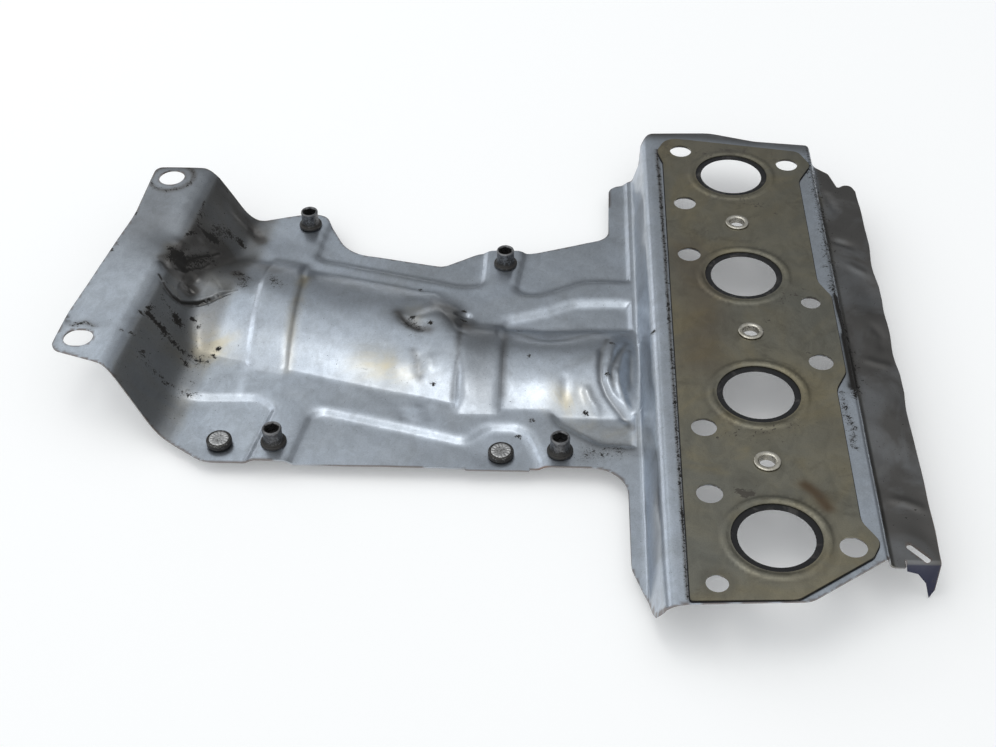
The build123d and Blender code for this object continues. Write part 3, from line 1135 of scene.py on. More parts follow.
@dataclass
class PressedSheet:
    """The formed sheet, with the softness, dents, folds and dirt that the press and use gave it, and painted shade and
    painted highlights.

    Lengths and places are in millimetres, in the part's frame.
    """

    reliefs: tuple[Relief, ...]
    marks: tuple[Mark, ...]
    node: str = "shield_sheet"
    thickness: float = 0.8
    sharp_angle: float = 40.0
    weld: float = 0.03
    # cutting into cells
    cell: float = 1.5
    under_cell: float = 3.6
    wall_cell: float = 1.8
    wall_x: Point2 = (-51.5, -43.0)
    wall_z: Point2 = (-18.0, -4.0)
    bends: tuple[Point2, ...] = ((-53.0, -38.2), (40.5, 47.5))
    end_cuts: tuple[float, ...] = (-52.0, -50.8, -49.6, -48.4, -47.2, -46.0)
    seal_cuts: tuple[float, ...] = (-37.9, -37.3, -36.7, 41.4, 42.4, 43.3, 44.2)
    fine_zones: tuple[tuple[Point2, Point2, int], ...] = (
        ((-283.0, 17.0), (-240.0, 76.0), 2),
        ((-79.0, -47.0), (-46.0, 9.0), 2),
        ((-168.0, 5.0), (-128.0, 38.0), 1),
    )
    # softness of the pressing
    crest_bend: float = 4.0
    crest_drop: float = 3.0
    softness: float = 0.85
    wall_softness: float = 2.6
    wall_place: Point2 = (-255.0, 40.0)
    wall_turn: float = -7.7
    wall_blend: Point2 = (6.0, 13.0)
    margin_rings: int = 9
    # crowns, their ribs, and the neck's end under the plateau's wall
    crowns: tuple[Crown, ...] = (Crown(73.0, 9.0, (-190.0, 22.0), -15.0), Crown(55.0, 8.0, (-90.0, -6.0), 0.0))
    rib_raise: float = 2.2
    rib_ranges: tuple[Point2, ...] = ((-234.0, -213.0), (-134.0, -113.0))
    rib_shares: tuple[float, ...] = (0.5, 0.62)
    rib_margin: float = 0.5
    snap: float = 0.16
    end_range: Point2 = (-64.0, -50.2)
    end_drop: float = 0.75
    end_wall_foot: float = -50.0
    end_wall_slope: float = 3.36
    # where the reshaping gives way to the CAD's own plateau
    plateau_start: float = -53.6
    plateau_blend: float = 1.8
    neck_range: Point2 = (-33.5, 22.5)
    neck_edge: float = 3.0
    neck_run: float = 5.4
    neck_under_run: float = 9.0
    # unevenness: height and length of the waves
    body_waves: tuple[Point2, ...] = ((0.15, 48.0), (0.045, 15.0))
    wall_wave: Point2 = (0.25, 26.0)
    flange_wave: Point2 = (0.45, 34.0)
    flange_inset: float = 0.5
    strip_drop: float = 0.45
    plateau_calm: float = 0.8
    # ranges over which a zone of the sheet begins: in x for the plateau, the flange and the ear, else in height
    plateau_rise: Point2 = (-52.0, -42.0)
    plateau_end: Point2 = (41.0, 48.0)
    side_rise: Point2 = (-50.5, -48.5)
    side_end: Point2 = (-44.0, -41.0)
    side_depth: Point2 = (2.0, 8.0)
    flange_edge: Point2 = (44.5, 47.5)
    flange_tip: Point2 = (60.0, 65.0)
    ear_edge: Point2 = (46.0, 50.0)
    ear_depth: Point2 = (9.2, 11.0)
    ear_end: Point2 = (129.5, 131.5)
    ear_shade_depth: Point2 = (8.4, 10.0)
    wall_top: Point2 = (3.0, 7.5)
    strip_rise: Point2 = (4.0, 7.0)
    strip_tone: Point2 = (4.0, 7.8)
    # amount of each layer everywhere, underneath, on the sloping wall, on its strip and on the flange; the darkening
    # amounts underneath, on the wall and on the flange are painted shade
    tones: tuple[tuple[Layer, tuple[float, ...]], ...] = (
        (Layer.DIRT, (0.12, 0.0, 0.08, 0.0, 0.08)),
        (Layer.WARMTH, (0.04, 0.20, 0.28, 0.0, 0.2)),
        (Layer.GRIME_AND_SHADE, (0.0, 0.25, 0.50, 0.0, 1.0)),
        (Layer.WORN_AND_HIGHLIGHT, (0.0, 0.0, 0.0, 0.15, 0.0)),
    )

    def build(self, finish: bpy.types.Material) -> bpy.types.Object:
        """Shape the sheet and dress it.

        Args:
            finish: Material of the sheet.

        Returns:
            The piece that stands for the CAD node.
        """
        heights = HeightMap(self.node)
        form = copied_form(self.node)
        self._cut(form)
        self._refine(form)
        points = positions(form)
        upper = self._upper(form)
        rims = self._rims(points, heights)
        shaped = self._shaped(points, upper, heights)
        for vert, place in zip(form.verts, shaped * MM):
            vert.co = place
        self._dress(form, points, rims, upper)
        bmesh.ops.remove_doubles(form, verts=form.verts, dist=self.weld * MM)
        return finish_mesh(form, "pressed_sheet", self.sharp_angle, finish)

    def _cut(self, form: bmesh.types.BMesh) -> None:
        """Cut the upper skin into fine cells, the lower skin into coarse ones, and the plateau's wall in height.

        Args:
            form: Mesh to cut.
        """
        low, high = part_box(self.node)
        form.normal_update()
        level = -0.01
        top = [face for face in form.faces if face.normal.z > level]
        under = [face for face in form.faces if face.normal.z <= level]
        for faces, cell, extra in ((top, self.cell, self.end_cuts + self.seal_cuts),
                                   (under, self.under_cell, self.end_cuts)):
            places = sorted(cut_places(low.x / MM + 1, high.x / MM, cell, self.bends) + list(extra))
            faces = cut_faces(form, faces, Axis.X, places)
            cut_faces(form, faces, Axis.Y, cut_places(low.y / MM + 1, high.y / MM, cell))
        left, right = self.wall_x
        walls = [face for face in form.faces if left < face.calc_center_median().x / MM < right]
        cut_faces(form, walls, Axis.Z, cut_places(*self.wall_z, self.wall_cell))

    def _refine(self, form: bmesh.types.BMesh) -> None:
        """Halve the cells once or more where the sheet is crumpled.

        Args:
            form: Mesh to cut.
        """
        for low, high, times in self.fine_zones:
            for _ in range(times):
                edges = set()
                for face in form.faces:
                    x, y, _ = face.calc_center_median() / MM
                    if face.normal.z > 0.1 and low[0] < x < high[0] and low[1] < y < high[1]:
                        edges.update(face.edges)
                bmesh.ops.subdivide_edges(form, edges=list(edges), cuts=1, use_grid_fill=True)
                form.normal_update()

    @staticmethod
    def _upper(form: bmesh.types.BMesh) -> np.ndarray:
        """True for vertices of the upper skin.

        Args:
            form: The cut mesh.

        Returns:
            True or False for each vertex.
        """
        upper = np.zeros(len(form.verts), bool)
        form.verts.index_update()
        for face in form.faces:
            if face.normal.z > 0.01:
                upper[[vert.index for vert in face.verts]] = True
        return upper

    @staticmethod
    def _rims(points: np.ndarray, heights: HeightMap) -> np.ndarray:
        """1 within about a millimetre of the sheet's trimmed edges and holes.

        Args:
            points: Vertex positions, in millimetres.
            heights: Height map of the upper skin.

        Returns:
            The amount for each vertex.
        """
        there = heights.valid.astype(float)
        near = heights.sample(there, points[:, 0], points[:, 1])
        return 1 - smooth_step(near, 0.55, 0.95)

    def _wall_zone(self, x: np.ndarray, y: np.ndarray) -> np.ndarray:
        """1 on the sloping wall and the mounting strip, 0 on the floor.

        Args:
            x: X of each point, in millimetres.
            y: Y of each point.

        Returns:
            The amount for each point.
        """
        angle = math.radians(self.wall_turn)
        across = (x - self.wall_place[0]) * math.cos(angle) + (y - self.wall_place[1]) * math.sin(angle)
        return 1 - smooth_step(across, *self.wall_blend)

    def _soft_heights(self, heights: HeightMap) -> np.ndarray:
        """Heights of the upper skin with true crowns, rounded crests and slightly soft creases.

        Args:
            heights: Height map of the upper skin.

        Returns:
            The heights over its grid.
        """
        x, y = heights.grid()
        true = heights.raw.copy()
        for crown in self.crowns:
            for raised in (0.0, self.rib_raise):
                arc = crown.height(x, y, raised)
                true = np.where((np.abs(true - arc) < self.snap) & (arc > crown.foot), arc, true)
        for crown, (left, right), share in zip(self.crowns, self.rib_ranges, self.rib_shares):
            base = np.maximum(crown.height(x, y, 0.0), crown.foot)
            on_rib = (x > left - self.rib_margin) & (x < right + self.rib_margin) & (true > base)
            true = np.where(on_rib, base + share * (true - base), true)
        neck = self.crowns[1]
        crown = neck.height(x, y, 0.0)
        wall = neck.foot + self.end_wall_slope * (x - self.end_wall_foot)
        lowered = neck.foot + (crown - neck.foot) * (1 - self.end_drop * smooth_step(x, *self.end_range))
        on_neck = (np.abs(true - crown) < self.snap) & (crown > neck.foot) & (x > self.end_range[0]) & (x < 0)
        true = np.where(on_neck, np.maximum(lowered, wall), true)
        whole = heights.extended(true, self.margin_rings)
        rounded = heights.opened(whole, self.crest_bend, self.crest_drop)
        crisp = heights.blurred(rounded, self.softness)
        broad = heights.blurred(rounded, self.wall_softness)
        share = self._wall_zone(x, y)
        return crisp * (1 - share) + broad * share

    def _added(self, x: np.ndarray, y: np.ndarray, z: np.ndarray) -> np.ndarray:
        """Height that folds, dents and unevenness add.

        Args:
            x: X of each point, in millimetres.
            y: Y of each point.
            z: Height of each point before shaping.

        Returns:
            The added height.
        """
        plateau = smooth_step(x, *self.plateau_rise) * (1 - smooth_step(x, *self.plateau_end))
        waves = sum(size * ripple(x, y, seed, length) for seed, (size, length) in enumerate(self.body_waves, 11))
        lift = sum(shape.lift(x, y) for shape in self.reliefs) + (1 - self.plateau_calm * plateau) * waves
        ear = smooth_step(x, *self.ear_edge) * smooth_step(-z, *self.ear_depth)
        return (lift - self.strip_drop * smooth_step(z, *self.strip_rise)) * (1 - ear)

    def _shaped(self, points: np.ndarray, upper: np.ndarray, heights: HeightMap) -> np.ndarray:
        """Soften the pressing's creases and add its dents, folds and waves.

        Args:
            points: Vertex positions, in millimetres.
            upper: True for vertices of the upper skin.
            heights: Height map of the upper skin.

        Returns:
            The moved positions.
        """
        x, y, z = points.T
        soft = self._soft_heights(heights)
        slope_x, slope_y = np.gradient(soft, heights.step)
        steep = np.hypot(heights.sample(slope_x, x, y), heights.sample(slope_y, x, y))
        skin = np.where(upper, 0.0, self.thickness * np.sqrt(1 + steep**2))
        target = heights.sample(soft, x, y) - skin
        (low, high), edge = self.neck_range, self.neck_edge
        run = np.where(upper, self.neck_run, self.neck_under_run) * smooth_step(y, low - edge, low + edge)
        start = self.plateau_start + run * smooth_step(-y, -high - edge, edge - high)
        body = 1 - smooth_step(x - start, 0.0, self.plateau_blend)
        moved = points.copy()
        moved[:, 2] = z + body * (target - z) + self._added(x, y, z)
        wall = smooth_step(x, *self.side_rise) * (1 - smooth_step(x, *self.side_end)) * smooth_step(
            -z, *self.side_depth)
        size, length = self.wall_wave
        moved[:, 0] += size * wall * ripple(y, z, 13, length)
        size, length = self.flange_wave
        tip = smooth_step(x, *self.flange_tip)
        moved[:, 0] += tip * np.minimum(size * ripple(y, y * 0.2, 14, length) - self.flange_inset, 0.0)
        return moved

    def _dress(self, form: bmesh.types.BMesh, points: np.ndarray, rims: np.ndarray, upper: np.ndarray) -> None:
        """Write the dirt, stain, wear, painted shade and painted highlight layers that the finish reads.

        Args:
            form: Mesh to write to.
            points: Vertex positions before shaping, in millimetres.
            rims: 1 at cut edges.
            upper: True on the upper skin.
        """
        x, y, z = points.T
        layers = {layer: np.zeros(len(x)) for layer in Layer}
        add_marks(layers, self.marks, x, y)
        zone = self._wall_zone(x, y)
        zones = (np.ones(len(x)), ~upper, zone * (1 - smooth_step(z, *self.wall_top)),
                 zone * smooth_step(z, *self.strip_tone), smooth_step(x, *self.flange_edge))
        for layer, amounts in self.tones:
            layers[layer] += sum(amount * cover for amount, cover in zip(amounts, zones))
        # painted dark-blue shade on the down-turned ear
        layers[Layer.EAR_SHADE] += (smooth_step(-y, *self.ear_end) * smooth_step(-z, *self.ear_shade_depth)
                                 * smooth_step(x, *self.ear_edge))
        for layer, values in layers.items():
            write_layer(form, layer.value, values)
        write_layer(form, "rim", rims)


# --------------------------------------------------------------------------- the gasket


@dataclass
class GasketPlate:
    """Upper gasket layer, slightly wavy, with a painted shade line at the foot of each port's bead."""

    marks: tuple[Mark, ...]
    node: str = "gasket_top_plate"
    cell: float = 1.8
    sharp_angle: float = 38.0
    wave: Point2 = (0.035, 40.0)
    port_row: tuple[float, ...] = (-126.0, -42.0, 42.0, 126.0)
    bead_foot: float = 23.3
    bead_shade: float = 0.30
    plain_dirt: float = 0.10

    def build(self, finish: bpy.types.Material) -> bpy.types.Object:
        """Shape the plate and dress it.

        Args:
            finish: Material of the plate.

        Returns:
            The piece that stands for the CAD node.
        """
        low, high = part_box(self.node)
        form = copied_form(self.node)
        form.normal_update()
        top = [face for face in form.faces if face.normal.z > 0.3]
        top = cut_faces(form, top, Axis.X, cut_places(low.x / MM + 1, high.x / MM, self.cell))
        cut_faces(form, top, Axis.Y, cut_places(low.y / MM + 1, high.y / MM, self.cell))
        x, y, _ = positions(form).T
        for vert, lift in zip(form.verts, self.wave[0] * ripple(x, y, 21, self.wave[1])):
            vert.co.z += lift * MM
        layers = {layer: np.zeros(len(x)) for layer in (Layer.DIRT, Layer.GRIME_AND_SHADE, Layer.WARMTH)}
        layers[Layer.DIRT] += self.plain_dirt
        add_marks(layers, self.marks + tuple(
            Mark(Layer.GRIME_AND_SHADE, self.bead_shade, 1.0, ((0.0, centre),), self.bead_foot) for centre in self.port_row), x, y)
        for layer, values in layers.items():
            write_layer(form, layer.value, values)
        return finish_mesh(form, "gasket_upper_layer", self.sharp_angle, finish)


# --------------------------------------------------------------------------- turned pieces


Ring = list[Point3]


def ring(radius: float, height: float, count: int) -> Ring:
    """Points of a level circle.

    Args:
        radius: Radius, in millimetres.
        height: Height.
        count: Number of points.

    Returns:
        The points, counter-clockwise.
    """
    return [(radius * math.cos(math.tau * k / count), radius * math.sin(math.tau * k / count), height)
            for k in range(count)]


def hexagon_ring(apothem: float, height: float, count: int) -> Ring:
    """Points of a level hexagon, as many as a circle has.

    Args:
        apothem: Half of the distance across the flats.
        height: Height.
        count: Number of points, a multiple of six.

    Returns:
        The points, counter-clockwise.
    """
    made = []
    for k in range(count):
        turn = math.tau * k / count
        inside = (turn + math.pi / 6) % (math.pi / 3) - math.pi / 6
        reach = apothem / math.cos(inside)
        made.append((reach * math.cos(turn), reach * math.sin(turn), height))
    return made


def add_turned(form: bmesh.types.BMesh, rings: Sequence[Ring], centre: Point3, closed: bool = False) -> None:
    """Add a closed skin through rings of points, from the lowest round to the last.

    Args:
        form: Mesh that grows.
        rings: Rings in order along the profile.
        centre: Place of the piece, in millimetres.
        closed: Whether the last ring joins the first, as on a hollow piece.
    """
    loops = []
    for points in rings:
        loops.append([form.verts.new(Vector((p[0] + centre[0], p[1] + centre[1], p[2] + centre[2])) * MM)
                      for p in points])
    pairs = list(zip(loops, loops[1:]))
    if closed:
        pairs.append((loops[-1], loops[0]))
    for first, second in pairs:
        count = len(first)
        for k in range(count):
            form.faces.new((first[k], first[(k + 1) % count], second[(k + 1) % count], second[k]))
    if not closed:
        form.faces.new(list(reversed(loops[0])))
        form.faces.new(loops[-1])


def arc_rings(centre: Point2, radius: float, start: float, stop: float, steps: int, count: int) -> list[Ring]:
    """Rings along an arc of a turned profile.

    Args:
        centre: Radius and height of the arc's centre.
        radius: Radius of the arc.
        start: First angle, in degrees, from the outward direction.
        stop: Last angle.
        steps: Number of steps.
        count: Points of a ring.

    Returns:
        The rings in order.
    """
    made = []
    for k in range(steps + 1):
        turn = math.radians(start + (stop - start) * k / steps)
        made.append(ring(centre[0] + radius * math.cos(turn), centre[1] + radius * math.sin(turn), count))
    return made


def shank_rings(radius: float, reach: float, edge: float, head: float, head_edge: float, count: int) -> list[Ring]:
    """Rings of a shank with a chamfered tip, up to the edge of the head that sits on it.

    Args:
        radius: Radius of the shank, in millimetres.
        reach: Length below the head.
        edge: Chamfer at the tip.
        head: Radius of the head.
        head_edge: Chamfer under the head's edge.
        count: Points of a ring.

    Returns:
        The rings from the tip up.
    """
    profile = ((radius - edge, -reach), (radius, edge - reach), (radius, 0.0), (head - head_edge, 0.0),
               (head, head_edge))
    return [ring(across, height, count) for across, height in profile]


@dataclass
class TurnedPiece:
    """Like turned pieces at several places, as one mesh. Lengths are in millimetres."""

    name: str
    places: tuple[Point2, ...]
    seat: float
    sharp_angle: float
    count: int
    closed: bool = False

    def _rings(self) -> list[Ring]:
        """Profile of one piece, above its seat."""
        raise NotImplementedError

    def _dirt(self, radius: np.ndarray, height: np.ndarray) -> np.ndarray:
        """Amount of dirt by radius from the axis, and height above the seat."""
        raise NotImplementedError

    def build(self, finish: bpy.types.Material) -> bpy.types.Object:
        """Make all the pieces as one mesh and dress them.

        Args:
            finish: Their material.

        Returns:
            The piece.
        """
        form = bmesh.new()
        for x, y in self.places:
            add_turned(form, self._rings(), (x, y, self.seat), self.closed)
        x, y, z = positions(form).T
        radius = np.min([np.hypot(x - px, y - py) for px, py in self.places], axis=0)
        write_layer(form, Layer.DIRT.value, self._dirt(radius, z - self.seat))
        return finish_mesh(form, self.name, self.sharp_angle, finish)


@dataclass
class CollarScrews(TurnedPiece):
    """Tall waisted heads with hexagon sockets, on rounded collars."""

    name: str = "screws_with_collar"
    places: tuple[Point2, ...] = ((-217.8, 104.5), (-115.0, 73.3), (-212.7, -57.7), (-86.1, -60.3))
    seat: float = -19.5
    sharp_angle: float = 34.0
    count: int = 60
    collar_radius: float = 5.8
    collar_height: float = 1.6
    collar_edge: float = 0.7
    collar_foot: float = 0.25
    waist: Line = ((4.95, 1.6), (4.7, 1.9), (4.5, 2.3), (4.4, 3.0), (4.3, 5.0), (4.22, 7.3))
    rim: Line = ((4.32, 7.7), (4.38, 8.1), (4.34, 8.5), (4.2, 8.8), (3.95, 9.0), (3.6, 9.0))
    socket_apothem: float = 3.0
    socket_floor: float = 4.0
    socket_centre: float = 0.6
    shank: Point3 = (3.0, 3.6, 0.7)  # radius, reach and tip edge

    def _rings(self) -> list[Ring]:
        """Profile of one screw, from the shank's tip to the socket's floor."""
        count, edge, apothem = self.count, self.collar_edge, self.socket_apothem
        rings = shank_rings(*self.shank, self.collar_radius, self.collar_foot, count)
        rings += arc_rings((self.collar_radius - edge, self.collar_height - edge), edge, 0, 90, 5, count)
        rings += [ring(radius, height, count) for radius, height in self.waist + self.rim]
        top = self.rim[-1][1]
        for reach, height in ((apothem + 0.25, top - 0.25), (apothem, top - 0.6), (apothem, self.socket_floor)):
            rings.append(hexagon_ring(reach, height, count))
        return rings + [ring(self.socket_centre, self.socket_floor, count)]

    def _dirt(self, radius: np.ndarray, height: np.ndarray) -> np.ndarray:
        """Dirt that lies on the collar and leaves the rim bright.

        Args:
            radius: Distance of each vertex from its axis, in millimetres.
            height: Its height above the seat.

        Returns:
            The amount of dirt.
        """
        low = np.exp(-np.abs(height - self.collar_height) / 1.6)
        bright = smooth_step(height, 8.2, 8.8) * smooth_step(radius, 3.3, 3.7)
        return (0.45 + 0.5 * low) * (1 - bright)


@dataclass
class RoundHeadStuds(TurnedPiece):
    """Low round heads with pressed radial marks, on plain shanks."""

    name: str = "studs_with_round_head"
    places: tuple[Point2, ...] = ((-237.4, -56.4), (-112.0, -60.8))
    seat: float = -21.5
    sharp_angle: float = 40.0
    count: int = 84
    head_radius: float = 5.7
    head_height: float = 2.8
    head_foot: float = 0.2
    edge: float = 0.8
    groove: Line = ((4.95, 0.0), (4.8, -0.22), (4.6, -0.25), (4.45, -0.05))
    top_rings: tuple[float, ...] = (4.3, 4.1, 3.7, 3.2, 2.8, 2.6, 2.4)
    centre: float = 0.3
    shank: Point3 = (3.0, 3.6, 0.7)  # radius, reach and tip edge
    marks: int = 14
    mark_range: Point2 = (2.6, 4.2)
    mark_width: float = 0.26
    mark_height: float = 0.18

    def _marked(self, radius: float, top: float) -> Ring:
        """Ring of the head's top, raised where the pressed marks stand.

        Args:
            radius: Radius of the ring.
            top: Height of the head's top between the marks.

        Returns:
            The ring.
        """
        inside = self.mark_range[0] < radius < self.mark_range[1]
        made = []
        for k, (px, py, pz) in enumerate(ring(radius, top, self.count)):
            share = (k * self.marks / self.count) % 1.0
            raised = min(1.0, 1.6 * max(0.0, 1 - abs(share - 0.5) / self.mark_width)) if inside else 0.0
            made.append((px, py, pz + self.mark_height * raised))
        return made

    def _rings(self) -> list[Ring]:
        """Profile of one stud, from the shank's tip to the head's centre."""
        count, edge, top = self.count, self.edge, self.head_height - self.mark_height
        rings = shank_rings(*self.shank, self.head_radius, self.head_foot, count)
        rings += arc_rings((self.head_radius - edge, top - edge), edge, 0, 90, 6, count)
        rings += [ring(radius, top + drop, count) for radius, drop in self.groove]
        rings += [self._marked(radius, top) for radius in self.top_rings]
        return rings + [ring(self.centre, top, count)]

    def _dirt(self, radius: np.ndarray, height: np.ndarray) -> np.ndarray:
        """Dirt on the side and in the middle, less on the top.

        Args:
            radius: Distance of each vertex from its axis, in millimetres.
            height: Its height above the seat.

        Returns:
            The amount of dirt.
        """
        side, inside = smooth_step(radius, 4.25, 4.5), smooth_step(-radius, -2.7, -2.4)
        return 0.15 + 0.8 * side + 0.4 * inside - 0.1 * smooth_step(height, 0.5, 2.0)


@dataclass
class RolledEyelets(TurnedPiece):
    """Hollow rivets whose rims are rolled over the gasket and under the sheet."""

    name: str = "eyelets_rolled"
    places: tuple[Point2, ...] = ((0.0, -84.0), (0.0, 0.0), (0.0, 84.0))
    seat: float = 0.0
    sharp_angle: float = 50.0
    count: int = 64
    closed: bool = True
    bore: float = 3.5
    wall: float = 0.7
    rim_radius: float = 5.8
    rim_height: float = 0.9
    rim_foot: float = -0.1
    inner_bend: float = 0.75
    under: float = -1.8

    def _rings(self) -> list[Ring]:
        """Closed profile of one eyelet, counter-clockwise from the bore's foot."""
        count, inner, outside = self.count, self.inner_bend, self.bore + self.wall
        half = (self.rim_height - self.rim_foot) / 2
        profile = ((self.bore, self.under - self.wall), (self.rim_radius, self.under - self.wall),
                   (self.rim_radius, self.under), (outside, self.under), (outside, self.rim_foot))
        rings = [ring(radius, height, count) for radius, height in profile]
        rings += arc_rings((self.rim_radius - half, self.rim_foot + half), half, -80, 90, 7, count)
        return rings + arc_rings((self.bore + inner, self.rim_height - inner), inner, 95, 180, 6, count)

    def _dirt(self, radius: np.ndarray, height: np.ndarray) -> np.ndarray:
        """Dirt that gathers where the rim meets the gasket."""
        return 0.48 + 0.5 * np.exp(-np.abs(height) / 0.5)


# --------------------------------------------------------------------------- studio


@dataclass
class Studio:
    """Camera, floor and lamps."""

    focal_px: float = 1531.29
    frame_px: tuple[int, int] = (996, 747)
    sensor_mm: float = 36.0
    place_mm: Point3 = (-85.808, -539.123, 451.306)
    right: Point3 = (0.9990064, 0.0415991, -0.0159896)
    down: Point3 = (0.0156771, -0.6638766, -0.7476778)
    forward: Point3 = (-0.0417178, 0.7466842, -0.6638692)
    floor_drop_mm: float = 0.2
    floor_size: float = 6.0
    paper: Colour = grey(0.86, 0.86, 0.86)
    paper_glow: float = 0.16
    sky_colour: Colour = grey(0.96, 0.985, 1.0)
    sky_levels: Point2 = (0.26, 1.15)

    def camera(self) -> None:
        """Put the camera where the photo was taken from."""
        data = bpy.data.cameras.new("camera")
        data.sensor_fit = "HORIZONTAL"
        data.sensor_width = self.sensor_mm
        data.lens = self.focal_px * self.sensor_mm / self.frame_px[0]
        data.clip_start, data.clip_end = 0.01, 20.0
        camera = bpy.data.objects.new("camera", data)
        right, up = Vector(self.right), -Vector(self.down)
        back = -Vector(self.forward)
        turn = Matrix((right, up, back)).transposed().to_4x4()
        camera.matrix_world = Matrix.Translation(Vector(self.place_mm) * MM) @ turn
        bpy.context.scene.collection.objects.link(camera)
        bpy.context.scene.camera = camera

    def floor(self, level: float) -> None:
        """Lay a pale floor under the part.

        Args:
            level: Height of the floor, in metres.
        """
        form = bmesh.new()
        bmesh.ops.create_grid(form, x_segments=1, y_segments=1, size=self.floor_size)
        mesh = bpy.data.meshes.new("floor")
        form.to_mesh(mesh)
        form.free()
        plane = bpy.data.objects.new("floor", mesh)
        plane.location.z = level
        bpy.context.scene.collection.objects.link(plane)
        plane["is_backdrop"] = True
        material = bpy.data.materials.new("floor_paper")
        material.use_nodes = True
        material.node_tree.nodes.clear()
        shade = Shade(material.node_tree)
        matt = shade.fill(shade.node("ShaderNodeBsdfDiffuse"), Color=self.paper)
        path = shade.node("ShaderNodeLightPath")
        rays = shade.math("MAXIMUM", path.outputs["Is Camera Ray"], path.outputs["Is Glossy Ray"])
        rays = shade.math("MAXIMUM", rays, path.outputs["Is Transmission Ray"])
        glow = shade.fill(shade.node("ShaderNodeEmission"), Color=grey(1.0, 1.0, 1.0),
                          Strength=shade.times(rays, self.paper_glow))
        both = shade.node("ShaderNodeAddShader")
        shade.join(matt.outputs[0], both.inputs[0])
        shade.join(glow.outputs[0], both.inputs[1])
        output = shade.node("ShaderNodeOutputMaterial")
        shade.join(both.outputs[0], output.inputs["Surface"])
        mesh.materials.append(material)

    def sky(self) -> None:
        """Dome that is brightest overhead and toward the viewer, and dim at the back and the right."""
        world = bpy.data.worlds.new("studio")
        world.use_nodes = True
        world.node_tree.nodes.clear()
        shade = Shade(world.node_tree)
        way = shade.node("ShaderNodeTexCoord").outputs["Generated"]
        parts = shade.node("ShaderNodeSeparateXYZ")
        shade.join(way, parts.inputs[0])
        low, high = self.sky_levels
        rise = shade.times(shade.weighted(0.0, (parts.outputs["Z"], 0.8), (parts.outputs["Y"], -0.6)), 1.28)
        level = shade.math("MINIMUM", shade.math("MAXIMUM", shade.weighted(0.41, (rise, 1.0)), low), high)
        level = shade.times(level, shade.ramp(parts.outputs["X"], -0.2, 0.8, 1.06, 0.5))
        glow = shade.fill(shade.node("ShaderNodeBackground"), Color=self.sky_colour, Strength=level)
        output = shade.node("ShaderNodeOutputWorld")
        shade.join(glow.outputs[0], output.inputs["Surface"])
        bpy.context.scene.world = world

    @staticmethod
    def lamp(name: str, place: Point3, target: Point3, size: Point2, power: float, colour: Point3) -> None:
        """Add one soft lamp.

        Args:
            name: Its name.
            place: Its place, in metres.
            target: Point it faces.
            size: Width and height, in metres.
            power: Power, in watts.
            colour: Light colour.
        """
        data = bpy.data.lights.new(name, "AREA")
        data.shape = "RECTANGLE"
        data.size, data.size_y = size
        data.energy = power
        data.color = colour
        lamp = bpy.data.objects.new(name, data)
        lamp.location = place
        way = Vector(target) - Vector(place)
        lamp.rotation_euler = way.to_track_quat("-Z", "Y").to_euler()
        bpy.context.scene.collection.objects.link(lamp)

    def build(self, level: float) -> None:
        """Set up the view, the floor and the light.

        Args:
            level: Height of the part's lowest point, in metres.
        """
        bpy.context.scene.view_settings.view_transform = "Standard"
        self.camera()
        self.floor(level - self.floor_drop_mm * MM)
        self.sky()
        self.lamp("low_left", (-1.03, 1.11, 0.375), (-0.1, 0.0, 0.0), (0.6, 0.5), 1.2, (0.96, 0.98, 1.0))
        self.lamp("high_left", (-0.66, 1.08, 0.95), (-0.25, 0.0, 0.0), (0.3, 0.3), 0.28, (0.92, 0.97, 1.0))
        self.lamp("left", (-1.23, 0.55, 0.72), (-0.2, 0.0, 0.0), (0.5, 0.5), 1.1, (0.92, 0.96, 1.0))
        self.lamp("overhead", (-0.35, -0.05, 1.3), (-0.12, 0.0, 0.0), (0.8, 0.35), 1.75, (1.0, 0.985, 0.95))


# --------------------------------------------------------------------------- the part


LAP_LINE = ((-278.1, 29.2), (-274.2, 24.0), (-271.3, 22.3), (-267.9, 22.6), (-263.3, 27.3), (-256.4, 30.3),
            (-249.7, 34.9), (-243.9, 37.8))
PINCH_LINES = (
    ((-272.5, 43.0), (-268.3, 53.8), (-263.5, 61.4), (-258.0, 67.9)),
    ((-272.8, 39.0), (-268.6, 45.5), (-264.2, 51.4), (-260.7, 56.7)),
    ((-269.6, 33.9), (-266.3, 39.5), (-263.7, 44.6)),
    ((-267.1, 30.7), (-265.0, 34.8)),
)
CRESCENT = ((-164.5, 24.7), (-160.6, 19.0), (-156.9, 14.5), (-152.9, 11.7), (-149.0, 10.6))
CORNER_RIDGE = ((-156.0, 50.8), (-146.1, 44.9), (-141.0, 41.7), (-135.6, 34.2), (-132.8, 28.0))
NEAR_FOLD = ((-155.1, -2.6), (-152.3, -9.5), (-151.4, -14.7), (-150.2, -19.7))
WRINKLE_1 = ((-65.0, 9.0), (-67.5, -0.7), (-68.0, -11.3), (-67.6, -19.8), (-65.3, -26.1), (-62.6, -30.0),
             (-59.4, -33.6), (-55.9, -38.7), (-53.8, -44.2))
WRINKLE_2 = ((-55.5, 10.0), (-58.6, 4.0), (-60.6, -2.2), (-62.1, -9.2), (-63.0, -15.3), (-62.2, -22.2))
WRINKLE_3 = ((-54.4, 4.0), (-55.0, -6.4), (-55.2, -14.0), (-55.2, -22.1))
VALLEY = ((-279.1, 40.9), (-276.3, 37.5), (-273.6, 36.3))
SCRAPE = ((-263.5, 72.6), (-261.0, 73.8))
SPUR = ((-275.9, 50.7), (-273.0, 48.8), (-275.6, 43.7))
NEAR_SLOT = ((-309.5, -11.5), (-304.0, -9.6), (-298.8, -11.8))
FAR_HOLE = ((-287.3, 107.3),)
